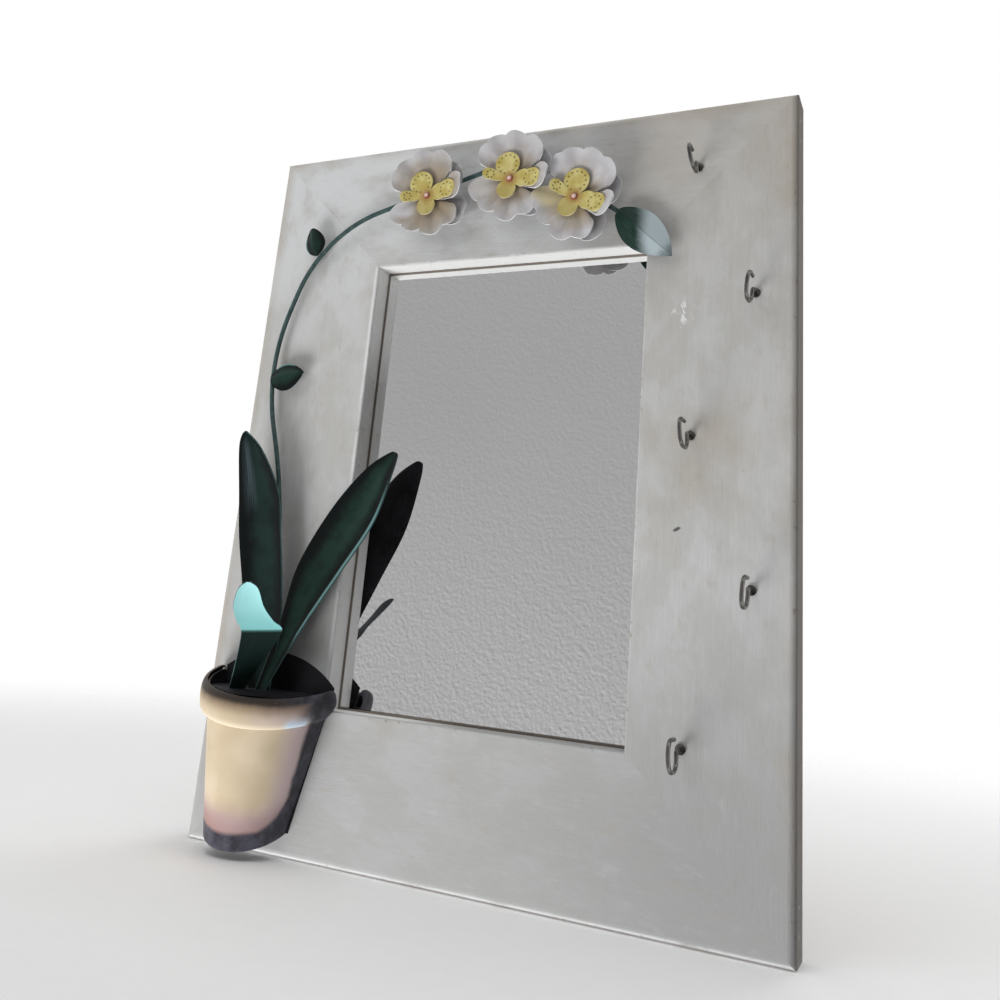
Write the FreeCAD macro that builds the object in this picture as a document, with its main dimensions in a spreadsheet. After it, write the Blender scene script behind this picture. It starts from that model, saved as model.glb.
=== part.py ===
import FreeCAD, Part
import math
import os
import re
import Sketcher

# A wall mirror in a mitred wooden frame, with a sheet-metal orchid on its left side and five wire hooks.
# Millimetres. X to the right, Z up, Y into the wall: the wall plane is Y = 0 and the front faces -Y.
# The origin is the middle of the frame on the wall plane.

SIZES = {
    # frame boards, seen from the front
    "frame_width": 360,
    "frame_height": 453,
    "left_stile_width": 89,
    "right_stile_width": 86,
    "bottom_rail_width": 84,
    "top_rail_width": 87,
    "front_lip": 14,
    "rabbet_width": 6,
    "outer_round": 4,
    "inner_round": 1.2,
    "mitre_overrun_share": 0.2,
    # glazing and what stands behind the frame
    "glass_thickness": 3,
    "backing_thickness": 4,
    "glazing_clearance": 0.6,
    "button_gap": 0.3,
    "bumper_height": 5,
    "bumper_radius": 6,
    "bumper_inset": 18,
    # corner nails, driven through the stiles into the rail ends
    "corner_nail_radius": 0.9,
    "corner_nail_length": 44,
    "corner_nail_near_share": 0.15,
    "corner_nail_far_share": 0.3,
    # wood screws and the fit of every shank in its hole
    "shank_clearance": 0.05,
    "screw_head_radius": 3,
    "screw_head_height": 1.6,
    "screw_shank_radius": 1.4,
    "screw_length": 11,
    # turn buttons
    "button_width": 9,
    "button_nose": 20,
    "button_tail": 3,
    "button_thickness": 1.2,
    "button_round_share": 0.35,
    "button_setback": 6,
    "screw_seat_gap": 0.1,
    # hangers
    "hanger_height": 128,
    "hanger_inset": 45,
    "strap_width": 12,
    "strap_length": 38,
    "strap_thickness": 1,
    "strap_screw_near": 17,
    "strap_screw_far": 32,
    "ring_radius": 9,
    "ring_wire_radius": 1.1,
    "ring_play": 0.08,
    "barrel_wall": 1.25,
    # hooks
    "hook_column_near": 56.5,
    "hook_column_far": 22.5,
    "hook_top_drop": 41,
    "hook_pitch": 80.75,
    "hook_wire_radius": 1.1,
    "hook_shank_radius": 1.2,
    "hook_shank_length": 13,
    "hook_collar_radius": 2.7,
    "hook_collar_height": 1,
    "hook_collar_gap": 0.1,
    "hook_neck": 9,
    "hook_reach": 25,
    "hook_drop": 9.5,
    "hook_tip_height": 5.5,
    "hook_tip_return": 12,
    "hook_neck_bend": 1.9,
    "hook_bowl_bend": 6.5,
    # half-round pot, placed from the frame's lower left corner
    "pot_foot_side": 47,
    "pot_foot_height": 16,
    "pot_wall_height": 68,
    "pot_foot_half_width": 26,
    "pot_foot_depth": 26,
    "pot_rim_half_width": 38.5,
    "pot_rim_depth": 38.5,
    "pot_foot_dip_angle": 24,
    "pot_rim_dip_angle": 13.5,
    "pot_lean_angle": 4.5,
    "pot_band_height": 16,
    "pot_band_thickness": 2.2,
    "pot_sheet": 1,
    "plate_arch": 14,
    "plate_side_margin": 1,
    "soil_clearance": 0.1,
    "soil_thickness": 2,
    "soil_height_share": 0.905,
    "pot_nail_radius": 0.9,
    "pot_nail_length": 13,
    "pot_nail_head_radius": 2,
    "pot_nail_head_height": 1,
    "pot_nail_low_share": 0.25,
    "pot_nail_high_share": 0.7,
    # leaves that stand in the pot, from the frame's lower left corner and its front face
    "leaf_sheet": 0.9,
    "left_leaf_foot_near": 42,
    "left_leaf_foot_far": 57,
    "left_leaf_tip_side": 13,
    "left_leaf_tip_height": 250,
    "left_leaf_near_swell": 1.5,
    "left_leaf_far_swell": 13,
    "left_leaf_foot_depth": 14,
    "left_leaf_tip_depth": 20,
    "left_leaf_bow": 6,
    "right_leaf_foot_near": 58.5,
    "right_leaf_foot_far": 69,
    "right_leaf_tip_side": 121,
    "right_leaf_tip_height": 240.5,
    "right_leaf_near_swell": 22,
    "right_leaf_far_swell": 5,
    "right_leaf_foot_depth": 19,
    "right_leaf_tip_depth": 3,
    "right_leaf_bow": 2,
    "front_leaf_foot_near": 39,
    "front_leaf_foot_far": 50,
    "front_leaf_tip_side": 71,
    "front_leaf_near_swell": 3,
    "front_leaf_far_swell": 19,
    "front_leaf_foot_depth": 28,
    "front_leaf_bend_depth": 33,
    "front_leaf_bend_height": 124,
    "front_leaf_tip_depth": 67,
    "front_leaf_tip_height": 153,
    # flower stem: the corners of its line, from the frame's lower left corner, its drops from the top edge
    "stem_radius": 1.5,
    "stem_depth": 6,
    "stem_foot_gap": 0.1,
    "stem_foot_side": 47,
    "stem_knee_side": 42,
    "stem_knee_height": 206,
    "stem_back_side": 12.5,
    "stem_back_height": 296,
    "stem_shoulder_side": 44.5,
    "stem_shoulder_drop": 62,
    "stem_crown_share": 0.544,
    "stem_crown_drop": 21,
    "stem_end_share": 0.711,
    "stem_end_drop": 66,
    "stem_bend_share": 0.45,
    # small leaves on the stem
    "small_leaf_sheet": 0.8,
    "stem_leaf_gap": 0.2,
    "upper_leaf_bend_share": 0.347,
    "upper_leaf_length": 22,
    "upper_leaf_width": 15,
    "upper_leaf_cup_radius": 45,
    "upper_leaf_turn_angle": 108,
    "lower_leaf_bend_share": 0.379,
    "lower_leaf_length": 27,
    "lower_leaf_width": 18,
    "lower_leaf_cup_radius": 16,
    "lower_leaf_turn_angle": 12,
    "end_leaf_length": 48,
    "end_leaf_width": 27,
    "end_leaf_cup_radius": 24,
    "end_leaf_turn_angle": -43,
    # flowers: shares of the frame's width from the left, drops from its top edge
    "first_flower_share": 0.354,
    "first_flower_drop": 49.5,
    "second_flower_share": 0.525,
    "second_flower_drop": 42.5,
    "third_flower_share": 0.644,
    "third_flower_drop": 58.5,
    "petal_sheet": 0.8,
    "petal_hub_radius": 5,
    "back_petal_stand": 9,
    "back_petal_offset": 12,
    "back_petal_radius": 11,
    "back_petal_dish": 62,
    "front_petal_stand": 12.5,
    "front_petal_offset": 14.5,
    "front_petal_radius": 13.5,
    "front_petal_dish": 48,
    "lip_stand": 16.5,
    "lip_offset": 5.5,
    "lip_radius": 6,
    "lip_dish": 22,
    "pin_radius": 1,
    "pin_depth_in_wood": 9,
    "pin_head_radius": 2.4,
    "pin_head_height": 1.6,
    "pin_head_gap": 0.25,
    "pin_clearance": 0.05,
    # every cut runs past the faces it opens by this much
    "overrun": 2,
}

HOOK_TURN_ANGLES = (11, -6, 5, -3, 3)
FLOWER_TURN_ANGLES = {"first": 8, "second": 0, "third": -4}
LOBE_ANGLES = {
    "back_petal": (-30, 30, 150, 210),
    "front_petal": (58, 122, 238, 302),
    "lip": (20, 110, 195, 285),
}

FRONT_X = FreeCAD.Vector(1, 0, 0)
FRONT_Y = FreeCAD.Vector(0, 1, 0)
TOWARDS_FRONT = FreeCAD.Rotation(FRONT_X, 90)
TOWARDS_WALL = FreeCAD.Rotation(FRONT_X, -90)
TOWARDS_RIGHT = FreeCAD.Rotation(FRONT_Y, 90)

doc = FreeCAD.newDocument("orchid_mirror")
sheet = doc.addObject("Spreadsheet::Sheet", "Sizes")
for row, (name, size) in enumerate(SIZES.items(), start=1):
    sheet.set("A%d" % row, name)
    sheet.set("B%d" % row, str(size))
    sheet.setAlias("B%d" % row, name)
doc.recompute()

# Places that many pieces share, as sums of the named sizes
FRAME_DEPTH = "(front_lip + glass_thickness + backing_thickness + button_gap)"
BACK = "(-bumper_height)"
FRONT = "(-bumper_height - %s)" % FRAME_DEPTH
LEFT = "(-frame_width / 2)"
RIGHT = "(frame_width / 2)"
FLOOR = "(-frame_height / 2)"
TOP = "(frame_height / 2)"
SOIL = "(pot_foot_height + soil_height_share * (pot_wall_height + pot_band_height))"

nodes = []
bores = []


def rule(text):
    """The same sum, with each named size looked up in the sheet."""
    def look_up(found):
        word = found.group()
        return "Sizes." + word if word in SIZES else word
    return re.sub(r"[a-z][a-z0-9_]*", look_up, str(text))


def value(text):
    """What a sum of named sizes comes to."""
    return float(sheet.evalExpression(rule(text)))


def bind(item, rules):
    """Tie properties of an object to sums of named sizes."""
    for path, text in rules.items():
        item.setExpression(path, rule(text))


def place(item, x, y, z, turn=None):
    """Put an object at a place given by sums, turned by a fixed rotation."""
    if turn is not None:
        item.Placement = FreeCAD.Placement(FreeCAD.Vector(), turn)
    bind(item, {"Placement.Base.x": x, "Placement.Base.y": y, "Placement.Base.z": z})
    return item


def keep(item, label):
    """Make an object one of the part's named pieces."""
    item.Label = label
    nodes.append(item)
    return item


def box(name, sizes, corner):
    """A block with its low corner at a place."""
    block = doc.addObject("Part::Box", name)
    bind(block, dict(zip(("Length", "Width", "Height"), sizes)))
    return place(block, *corner)


def rod(name, radius, length, start, turn):
    """A round bar from a place, along a turned Z axis."""
    bar = doc.addObject("Part::Cylinder", name)
    bind(bar, {"Radius": radius, "Height": length})
    return place(bar, *start, turn)


def join(name, pieces):
    """Several solids fused into one."""
    fused = doc.addObject("Part::MultiFuse", name)
    fused.Shapes = pieces
    return fused


def group(name, pieces):
    """Separate solids kept side by side in one piece."""
    bundle = doc.addObject("Part::Compound", name)
    bundle.Links = pieces
    return bundle


def cut(name, base, tool):
    """One solid less another."""
    rest = doc.addObject("Part::Cut", name)
    rest.Base = base
    rest.Tool = tool
    return rest


def common(name, base, tool):
    """What two solids share."""
    shared = doc.addObject("Part::Common", name)
    shared.Base = base
    shared.Tool = tool
    return shared


def bore(name, radius, length, start, turn):
    """A hole in the frame for a shank of the given radius."""
    hole = rod(name + "_bore", radius + " + shank_clearance", length, start, turn)
    bores.append(hole)


def plane_of(body, role):
    """One of a body's own origin planes."""
    return [plane for plane in body.Origin.OriginFeatures if plane.Role == role][0]


def draw(sketch, corners, swells=None, closed=True):
    """Draw an outline from corner sums; a swell is an arc's height over the chord to the next corner."""
    swells = swells or {}
    points = [FreeCAD.Vector(value(x), value(y), 0) for x, y in corners]
    spans = len(points) if closed else len(points) - 1
    ends = []
    for index in range(spans):
        start = points[index]
        end = points[(index + 1) % len(points)]
        if index in swells:
            chord = end - start
            side = FreeCAD.Vector(chord.y, -chord.x, 0).normalize()
            middle = (start + end) * 0.5 + side * value(swells[index])
            number = sketch.addGeometry(Part.Arc(start, middle, end), False)
            first = 1 if sketch.getPoint(number, 1).isEqual(start, 1e-6) else 2
        else:
            number = sketch.addGeometry(Part.LineSegment(start, end), False)
            first = 1
        ends.append((number, first, 3 - first))
    for index, (number, first, last) in enumerate(ends):
        if closed or index + 1 < spans:
            following = ends[(index + 1) % spans]
            sketch.addConstraint(Sketcher.Constraint("Coincident", number, last, following[0], following[1]))
    fixed = [(number, first) for number, first, last in ends]
    if not closed:
        fixed.append((ends[-1][0], ends[-1][2]))
    for (number, end), (x, y), point in zip(fixed, corners, points):
        for kind, text, amount in (("DistanceX", x, point.x), ("DistanceY", y, point.y)):
            made = sketch.addConstraint(Sketcher.Constraint(kind, -1, 1, number, end, amount))
            sketch.setExpression("Constraints[%d]" % made, rule(text))
    for index, swell in swells.items():
        (x0, y0), (x1, y1) = corners[index], corners[(index + 1) % len(corners)]
        chord = "sqrt((%s - (%s)) ^ 2 + (%s - (%s)) ^ 2)" % (x1, x0, y1, y0)
        radius = "(%s ^ 2 / 4 + (%s) ^ 2) / (2 * abs(%s))" % (chord, swell, swell)
        made = sketch.addConstraint(Sketcher.Constraint("Radius", ends[index][0], value(radius)))
        sketch.setExpression("Constraints[%d]" % made, rule(radius))
    return sketch


def body_sketch(body, name, role, corners, swells=None):
    """A closed outline on one of a body's own planes."""
    sketch = body.newObject("Sketcher::SketchObject", name)
    sketch.AttachmentSupport = [(plane_of(body, role), "")]
    sketch.MapMode = "FlatFace"
    return draw(sketch, corners, swells)


def pad(body, sketch, length, both_ways=False):
    """Thicken an outline in its body."""
    feature = body.newObject("PartDesign::Pad", sketch.Name + "_pad")
    feature.Profile = sketch
    feature.SideType = "Symmetric" if both_ways else "One side"
    bind(feature, {"Length": length})
    return feature


def prism(name, role, corners, swells, length, offset):
    """A straight-sided solid: an outline on an origin plane, thickened and slid along the plane's normal."""
    body = doc.addObject("PartDesign::Body", name)
    pad(body, body_sketch(body, name + "_outline", role, corners, swells), length, both_ways=True)
    return place(body, *offset)


# Frame boards: a moulded section cut to length and mitred at both ends

def frame_board(label, length, width, before, after, turn, outer_edge):
    """One board; before and after are the widths of the boards that it meets at its two ends."""
    inside = "%s - %%s" % width
    lip_back = "%s + front_lip" % FRONT
    section = [
        (BACK, "0"),
        ("%s + outer_round" % FRONT, "0"),
        (FRONT, "outer_round"),
        (FRONT, inside % "inner_round"),
        ("%s + inner_round" % FRONT, width),
        (lip_back, width),
        (lip_back, inside % "rabbet_width"),
        (BACK, inside % "rabbet_width"),
    ]
    round_swell = "%s * (1 - sqrt(2) / 2)"
    swells = {1: "-" + round_swell % "outer_round", 3: "-" + round_swell % "inner_round"}
    body = doc.addObject("PartDesign::Body", label + "_blank")
    pad(body, body_sketch(body, label + "_section", "YZ_Plane", section, swells), length, both_ways=True)
    for side, met in (("-", before), ("+", after)):
        end = "%s%s / 2" % (side, length)
        low = "%s %s %s * mitre_overrun_share" % (end, side, met)
        high = "%s %s %s * -(1 + mitre_overrun_share)" % (end, side, met)
        rise = "%s * (1 + mitre_overrun_share)" % width
        wedge = [(low, "-%s * mitre_overrun_share" % width), (high, rise), (low, rise)]
        sketch = body_sketch(body, label + "_mitre_%s" % ("start" if side == "-" else "end"), "XZ_Plane", wedge)
        mitre = body.newObject("PartDesign::Pocket", sketch.Name + "_cut")
        mitre.Profile = sketch
        mitre.Type = "ThroughAll"
        mitre.SideType = "Symmetric"
    return place(body, *outer_edge, FreeCAD.Rotation(FRONT_Y, turn))


def frame_boards():
    """The four blanks, before their holes."""
    left, right = "left_stile_width", "right_stile_width"
    low, high = "bottom_rail_width", "top_rail_width"
    return {
        "frame_bottom_rail": frame_board("frame_bottom_rail", "frame_width", low, left, right, 0, ("0", "0", FLOOR)),
        "frame_top_rail": frame_board("frame_top_rail", "frame_width", high, right, left, 180, ("0", "0", TOP)),
        "frame_left_stile": frame_board("frame_left_stile", "frame_height", left, high, low, 90, (LEFT, "0", "0")),
        "frame_right_stile": frame_board("frame_right_stile", "frame_height", right, low, high, -90, (RIGHT, "0", "0")),
    }


def corner_nails():
    """Two nails through each stile end into the rail."""
    nails = []
    middle = "%s - %s / 2" % (BACK, FRAME_DEPTH)
    for side, start in (("left", LEFT), ("right", "%s - corner_nail_length" % RIGHT)):
        for level, height in (("low", FLOOR + " + %s * bottom_rail_width"), ("high", TOP + " - %s * top_rail_width")):
            for step in ("near", "far"):
                name = "nail_%s_%s_%s" % (side, level, step)
                spot = (start, middle, height % ("corner_nail_%s_share" % step))
                nails.append(rod(name, "corner_nail_radius", "corner_nail_length", spot, TOWARDS_RIGHT))
                bore(name, "corner_nail_radius", "corner_nail_length", spot, TOWARDS_RIGHT)
    keep(group("nail_group", nails), "corner_nails")


# Glazing

OPENING_LEFT = "%s + left_stile_width" % LEFT
OPENING_RIGHT = "%s - right_stile_width" % RIGHT
OPENING_FLOOR = "%s + bottom_rail_width" % FLOOR
OPENING_TOP = "%s - top_rail_width" % TOP


def glazing():
    """The mirror and the board behind it, loose in the rabbet."""
    edge = "(rabbet_width - glazing_clearance)"
    wide = "frame_width - left_stile_width - right_stile_width + 2 * %s" % edge
    tall = "frame_height - bottom_rail_width - top_rail_width + 2 * %s" % edge
    corner_x = "%s - %s" % (OPENING_LEFT, edge)
    corner_z = "%s - %s" % (OPENING_FLOOR, edge)
    glass_front = "%s + front_lip" % FRONT
    sizes = (wide, "glass_thickness", tall)
    keep(box("glass", sizes, (corner_x, glass_front, corner_z)), "mirror_glass")
    board_front = "%s + glass_thickness" % glass_front
    sizes = (wide, "backing_thickness", tall)
    keep(box("backing", sizes, (corner_x, board_front, corner_z)), "backing_board")


def wood_screw(name, x, z, seat):
    """A pan-head screw that stands on a plate whose back is the seat, its shank in the frame."""
    start = (x, seat, z)
    head = rod(name + "_head", "screw_head_radius", "screw_head_height", start, TOWARDS_WALL)
    shank = rod(name + "_shank", "screw_shank_radius", "screw_length", start, TOWARDS_FRONT)
    bore(name, "screw_shank_radius", "screw_length", start, TOWARDS_FRONT)
    return join(name, [head, shank])


def turn_buttons():
    """Four flat buttons on the back, each on its own screw, with its nose over the backing board."""
    inset = "rabbet_width + button_setback"
    spots = {
        "top": ("0", "%s + %s" % (OPENING_TOP, inset), 90),
        "bottom": ("0", "%s - (%s)" % (OPENING_FLOOR, inset), -90),
        "left": ("%s - (%s)" % (OPENING_LEFT, inset), "0", 0),
        "right": ("%s + %s" % (OPENING_RIGHT, inset), "0", 180),
    }
    half = "button_width / 2"
    outline = [("-button_tail", "-" + half), ("button_nose", "-" + half), ("button_nose", half), ("-button_tail", half)]
    round_end = "button_width * button_round_share"
    swells = {1: round_end, 3: round_end}
    screws = []
    for side, (x, z, turn) in spots.items():
        name = "button_" + side
        body = doc.addObject("PartDesign::Body", name + "_blank")
        pad(body, body_sketch(body, name + "_outline", "XZ_Plane", outline, swells), "button_thickness", both_ways=True)
        place(body, x, "%s + button_thickness / 2" % BACK, z, FreeCAD.Rotation(FRONT_Y, turn))
        hole = rod(name + "_hole", "screw_shank_radius + shank_clearance", "button_thickness + 2 * overrun",
                   (x, "%s - overrun" % BACK, z), TOWARDS_WALL)
        keep(cut(name, body, hole), "turn_button_" + side)
        screws.append(wood_screw("button_screw_" + side, x, z, "%s + button_thickness + screw_seat_gap" % BACK))
    keep(group("button_screws", screws), "turn_button_screws")


# Hangers: a strap with a rolled barrel, and a ring that swings in it

def hangers():
    """Two hangers on the backs of the stiles, their rings hanging down over the straps."""
    screws = []
    axle = "(ring_wire_radius + ring_play + barrel_wall)"
    axle_y = "%s + %s" % (BACK, axle)
    for side, x in (("left", "%s + hanger_inset" % LEFT), ("right", "%s - hanger_inset" % RIGHT)):
        name = "hanger_" + side
        strap = box(name + "_plate", ("strap_width", "strap_thickness", "strap_length"),
                    ("%s - strap_width / 2" % x, BACK, "hanger_height - strap_length"))
        barrel = rod(name + "_barrel", axle, "strap_width",
                     ("%s - strap_width / 2" % x, axle_y, "hanger_height"), TOWARDS_RIGHT)
        holes = [rod(name + "_eye", "ring_wire_radius + ring_play", "strap_width + 2 * overrun",
                     ("%s - strap_width / 2 - overrun" % x, axle_y, "hanger_height"), TOWARDS_RIGHT)]
        for step in ("near", "far"):
            z = "hanger_height - strap_screw_" + step
            holes.append(rod("%s_hole_%s" % (name, step), "screw_shank_radius + shank_clearance",
                             "strap_thickness + 2 * overrun", (x, "%s - overrun" % BACK, z), TOWARDS_WALL))
            screws.append(wood_screw("%s_screw_%s" % (name, step), x, z, "%s + strap_thickness" % BACK))
        keep(cut(name, join(name + "_blank", [strap, barrel]), join(name + "_holes", holes)), "hanger_strap_" + side)
        bow = doc.addObject("Part::Torus", name + "_bow")
        bind(bow, {"Radius1": "ring_radius", "Radius2": "ring_wire_radius"})
        bow.Angle3 = 180
        place(bow, x, axle_y, "hanger_height", TOWARDS_WALL)
        bar = rod(name + "_bar", "ring_wire_radius", "2 * ring_radius",
                  ("%s - ring_radius" % x, axle_y, "hanger_height"), TOWARDS_RIGHT)
        ends = []
        for end, sign in (("start", "-"), ("finish", "+")):
            knuckle = doc.addObject("Part::Sphere", "%s_%s" % (name, end))
            bind(knuckle, {"Radius": "ring_wire_radius"})
            ends.append(place(knuckle, "%s %s ring_radius" % (x, sign), axle_y, "hanger_height"))
        keep(join(name + "_ring", [bow, bar] + ends), "hanger_ring_" + side)
    keep(group("hanger_screws_group", screws), "hanger_screws")


def wall_bumpers():
    """Four round pads on the back corners; their faces lie on the wall."""
    pads = []
    for side, x in (("left", "%s + bumper_inset" % LEFT), ("right", "%s - bumper_inset" % RIGHT)):
        for level, z in (("low", "%s + bumper_inset" % FLOOR), ("high", "%s - bumper_inset" % TOP)):
            pads.append(rod("bumper_%s_%s" % (side, level), "bumper_radius", "bumper_height",
                            (x, BACK, z), TOWARDS_WALL))
    keep(group("bumpers", pads), "wall_bumpers")


# Hooks: bent wire with a collar and a shank that screws into the right stile

def rounded_path(corners, radii):
    """A wire of straight runs joined by tangent arcs."""
    edges = []
    here = corners[0]
    for before, corner, after, radius in zip(corners, corners[1:], corners[2:], radii):
        into = (corner - before).normalize()
        out = (after - corner).normalize()
        half_turn = into.getAngle(out) / 2
        setback = radius * math.tan(half_turn)
        start = corner - into * setback
        finish = corner + out * setback
        inward = (out - into).normalize()
        middle = corner + inward * (radius / math.cos(half_turn) - radius)
        edges.append(Part.LineSegment(here, start).toShape())
        edges.append(Part.Arc(start, middle, finish).toShape())
        here = finish
    edges.append(Part.LineSegment(here, corners[-1]).toShape())
    return Part.Wire(edges)


def wire_solid(path, radius):
    """A round wire along a path."""
    start = path.Edges[0].valueAt(path.Edges[0].FirstParameter)
    along = path.Edges[0].tangentAt(path.Edges[0].FirstParameter)
    ring = Part.Wire(Part.makeCircle(radius, start, along))
    return path.makePipeShell([ring], True, False)


def hook_wire():
    """The bent wire of one hook, from its collar out to its rounded tip, before it is placed."""
    reach, drop = value("hook_reach"), value("hook_drop")
    neck, tip = value("hook_neck"), value("hook_tip_height")
    back = reach - value("hook_tip_return")
    spots = [(0, 0), (neck, 0), (neck, drop), (reach, drop), (reach, -tip), (back, -tip)]
    corners = [FreeCAD.Vector(0, -out, -down) for out, down in spots]
    bends = [value("hook_neck_bend")] + [value("hook_bowl_bend")] * 3
    wire = wire_solid(rounded_path(corners, bends), value("hook_wire_radius"))
    return wire.fuse(Part.makeSphere(value("hook_wire_radius"), corners[-1]))


def hooks():
    """Five hooks in a zig-zag of two columns, each turned a little its own way."""
    for number, turn in enumerate(HOOK_TURN_ANGLES):
        name = "cup_hook_%d" % (number + 1)
        column = "hook_column_near" if number % 2 == 0 else "hook_column_far"
        spot = ("%s - %s" % (RIGHT, column), FRONT, "%s - hook_top_drop - %d * hook_pitch" % (TOP, number))
        bent = doc.addObject("Part::Feature", name + "_wire")
        bent.Shape = hook_wire()
        place(bent, *spot, FreeCAD.Rotation(FRONT_Y, -turn))
        seat = (spot[0], "%s - hook_collar_gap" % FRONT, spot[2])
        collar = rod(name + "_collar", "hook_collar_radius", "hook_collar_height", seat, TOWARDS_FRONT)
        shank = rod(name + "_shank", "hook_shank_radius", "hook_shank_length", spot, TOWARDS_WALL)
        bore(name, "hook_shank_radius", "hook_shank_length", spot, TOWARDS_WALL)
        keep(join(name, [bent, collar, shank]), name)


# Pot: bent sheet on a flat back plate

POT_X = "%s + pot_foot_side" % LEFT
POT_Z = "%s + pot_foot_height" % FLOOR
PLATE_FACE = "%s - pot_sheet" % FRONT
LEAN = FreeCAD.Rotation(FRONT_Y, value("pot_lean_angle"))


def up_the_pot(height):
    """The place on the pot's leaning middle line, at a height above its foot."""
    return "%s + (%s) * sin(pot_lean_angle)" % (POT_X, height), "%s + (%s) * cos(pot_lean_angle)" % (POT_Z, height)


def half_round(name, half_width, depth, height, dip):
    """A half-round outline against the back plate that dips towards its front."""
    sketch = doc.addObject("Sketcher::SketchObject", name)
    chord = [("-(%s)" % half_width, "0"), (half_width, "0")]
    draw(sketch, chord, {0: "(%s) / cos(%s)" % (depth, dip)})
    x, z = up_the_pot(height)
    return place(sketch, x, PLATE_FACE, z, LEAN * FreeCAD.Rotation(FRONT_X, value(dip)))


def half_loft(name, low, high):
    """A solid between two half-round outlines."""
    loft = doc.addObject("Part::Loft", name)
    loft.Sections = [low, high]
    loft.Solid = True
    loft.Ruled = True
    return loft


def half_cone(name, inset, rise, drop="0"):
    """The pot's tapered half-round form, drawn in by an inset, carried on upwards and downwards."""
    taper = "(pot_rim_half_width - pot_foot_half_width) / pot_wall_height"
    narrow = " - %s * (%s) - (%s)" % (taper, drop, inset)
    wide = " + %s * (%s) - (%s)" % (taper, rise, inset)
    low = half_round(name + "_foot", "pot_foot_half_width" + narrow, "pot_foot_depth" + narrow,
                     "-(%s)" % drop, "pot_foot_dip_angle")
    high = half_round(name + "_rim", "pot_rim_half_width" + wide, "pot_rim_depth" + wide,
                      "pot_wall_height + %s" % rise, "pot_rim_dip_angle")
    return half_loft(name, low, high)


def rim_band(core):
    """The raised band round the pot's mouth."""
    wide = "pot_rim_half_width + pot_band_thickness"
    deep = "pot_rim_depth + pot_band_thickness"
    flare = " + pot_band_thickness"
    low = half_round("band_low", wide, deep, "pot_wall_height", "pot_rim_dip_angle")
    high = half_round("band_high", wide + flare, deep + flare, "pot_wall_height + pot_band_height",
                      "pot_rim_dip_angle")
    keep(cut("band", half_loft("band_blank", low, high), core), "pot_rim_band")


def back_plate(holes):
    """The flat plate behind the pot, a little wider than it, with an arched top."""
    foot_half = "pot_foot_half_width + plate_side_margin"
    top_half = "pot_rim_half_width + pot_band_thickness"
    top = "pot_wall_height + pot_band_height"
    outline = [("-(%s)" % foot_half, "0"), (foot_half, "0"), (top_half, top), ("-(%s)" % top_half, top)]
    body = doc.addObject("PartDesign::Body", "plate_blank")
    sketch = body_sketch(body, "plate_outline", "XZ_Plane", outline, {2: "plate_arch"})
    pad(body, sketch, "pot_sheet", both_ways=True)
    place(body, POT_X, "%s - pot_sheet / 2" % FRONT, POT_Z, LEAN)
    keep(cut("plate", body, join("plate_holes", holes)), "pot_back_plate")


def pot():
    """Shell, rim band, soil plate, back plate and the two nails that hold the plate."""
    core = half_cone("pot_core", "0", "pot_band_height")
    hollow = half_cone("pot_hollow", "pot_sheet", "(pot_band_height + overrun)", "overrun")
    keep(cut("shell", core, hollow), "pot_shell")
    rim_band(half_cone("pot_tall", "0", "(pot_band_height + overrun)"))
    filling = half_cone("pot_filling", "pot_sheet + soil_clearance", "pot_band_height")
    slab = box("soil_slab", ("frame_width", "frame_width", "soil_thickness"),
               (LEFT, "%s - frame_width" % PLATE_FACE, "%s + %s - soil_thickness" % (FLOOR, SOIL)))
    keep(common("soil", filling, slab), "pot_soil_plate")
    holes = []
    nails = []
    for step in ("low", "high"):
        name = "pot_nail_" + step
        x, z = up_the_pot("pot_wall_height * pot_nail_%s_share" % step)
        spot = (x, PLATE_FACE, z)
        head = rod(name + "_head", "pot_nail_head_radius", "pot_nail_head_height", spot, TOWARDS_FRONT)
        shank = rod(name + "_shank", "pot_nail_radius", "pot_nail_length", spot, TOWARDS_WALL)
        bore(name, "pot_nail_radius", "pot_nail_length", spot, TOWARDS_WALL)
        holes.append(rod(name + "_hole", "pot_nail_radius + shank_clearance", "pot_sheet + 2 * overrun",
                         (x, "%s - overrun" % PLATE_FACE, z), TOWARDS_WALL))
        nails.append(join(name, [head, shank]))
    back_plate(holes)
    keep(group("pot_nail_group", nails), "pot_nails")


# Leaves that stand on the soil plate: a bowed strip of sheet, trimmed to the leaf's outline

def bowed_strip(name, spots, swells):
    """A strip of leaf sheet as wide as the frame; its side view runs through depth and height pairs."""
    near = [("%s - (%s)" % (FRONT, depth), "%s + %s" % (FLOOR, height)) for depth, height in spots]
    far = [("%s - (%s) - leaf_sheet" % (FRONT, depth), "%s + %s" % (FLOOR, height)) for depth, height in spots]
    far.reverse()
    outline = near + far
    count = len(spots)
    both = dict(swells)
    for index, swell in swells.items():
        both[2 * count - 2 - index] = "-(%s)" % swell
    return prism(name, "YZ_Plane", outline, both, "frame_width", ("0", "0", "0"))


def trimmed_leaf(label, strip, foot_near, foot_far, tip_side, tip_height, near_swell, far_swell):
    """Cut a strip to a leaf's outline, from its foot on the soil to its tip."""
    outline = [
        ("%s + %s" % (LEFT, foot_near), "%s + %s" % (FLOOR, SOIL)),
        ("%s + %s" % (LEFT, foot_far), "%s + %s" % (FLOOR, SOIL)),
        ("%s + %s" % (LEFT, tip_side), "%s + %s" % (FLOOR, tip_height)),
    ]
    swells = {1: far_swell, 2: near_swell}
    blank = prism(label + "_outline", "XZ_Plane", outline, swells, "4 * frame_width", ("0", "0", "0"))
    keep(common(label + "_trim", strip, blank), label)


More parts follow.
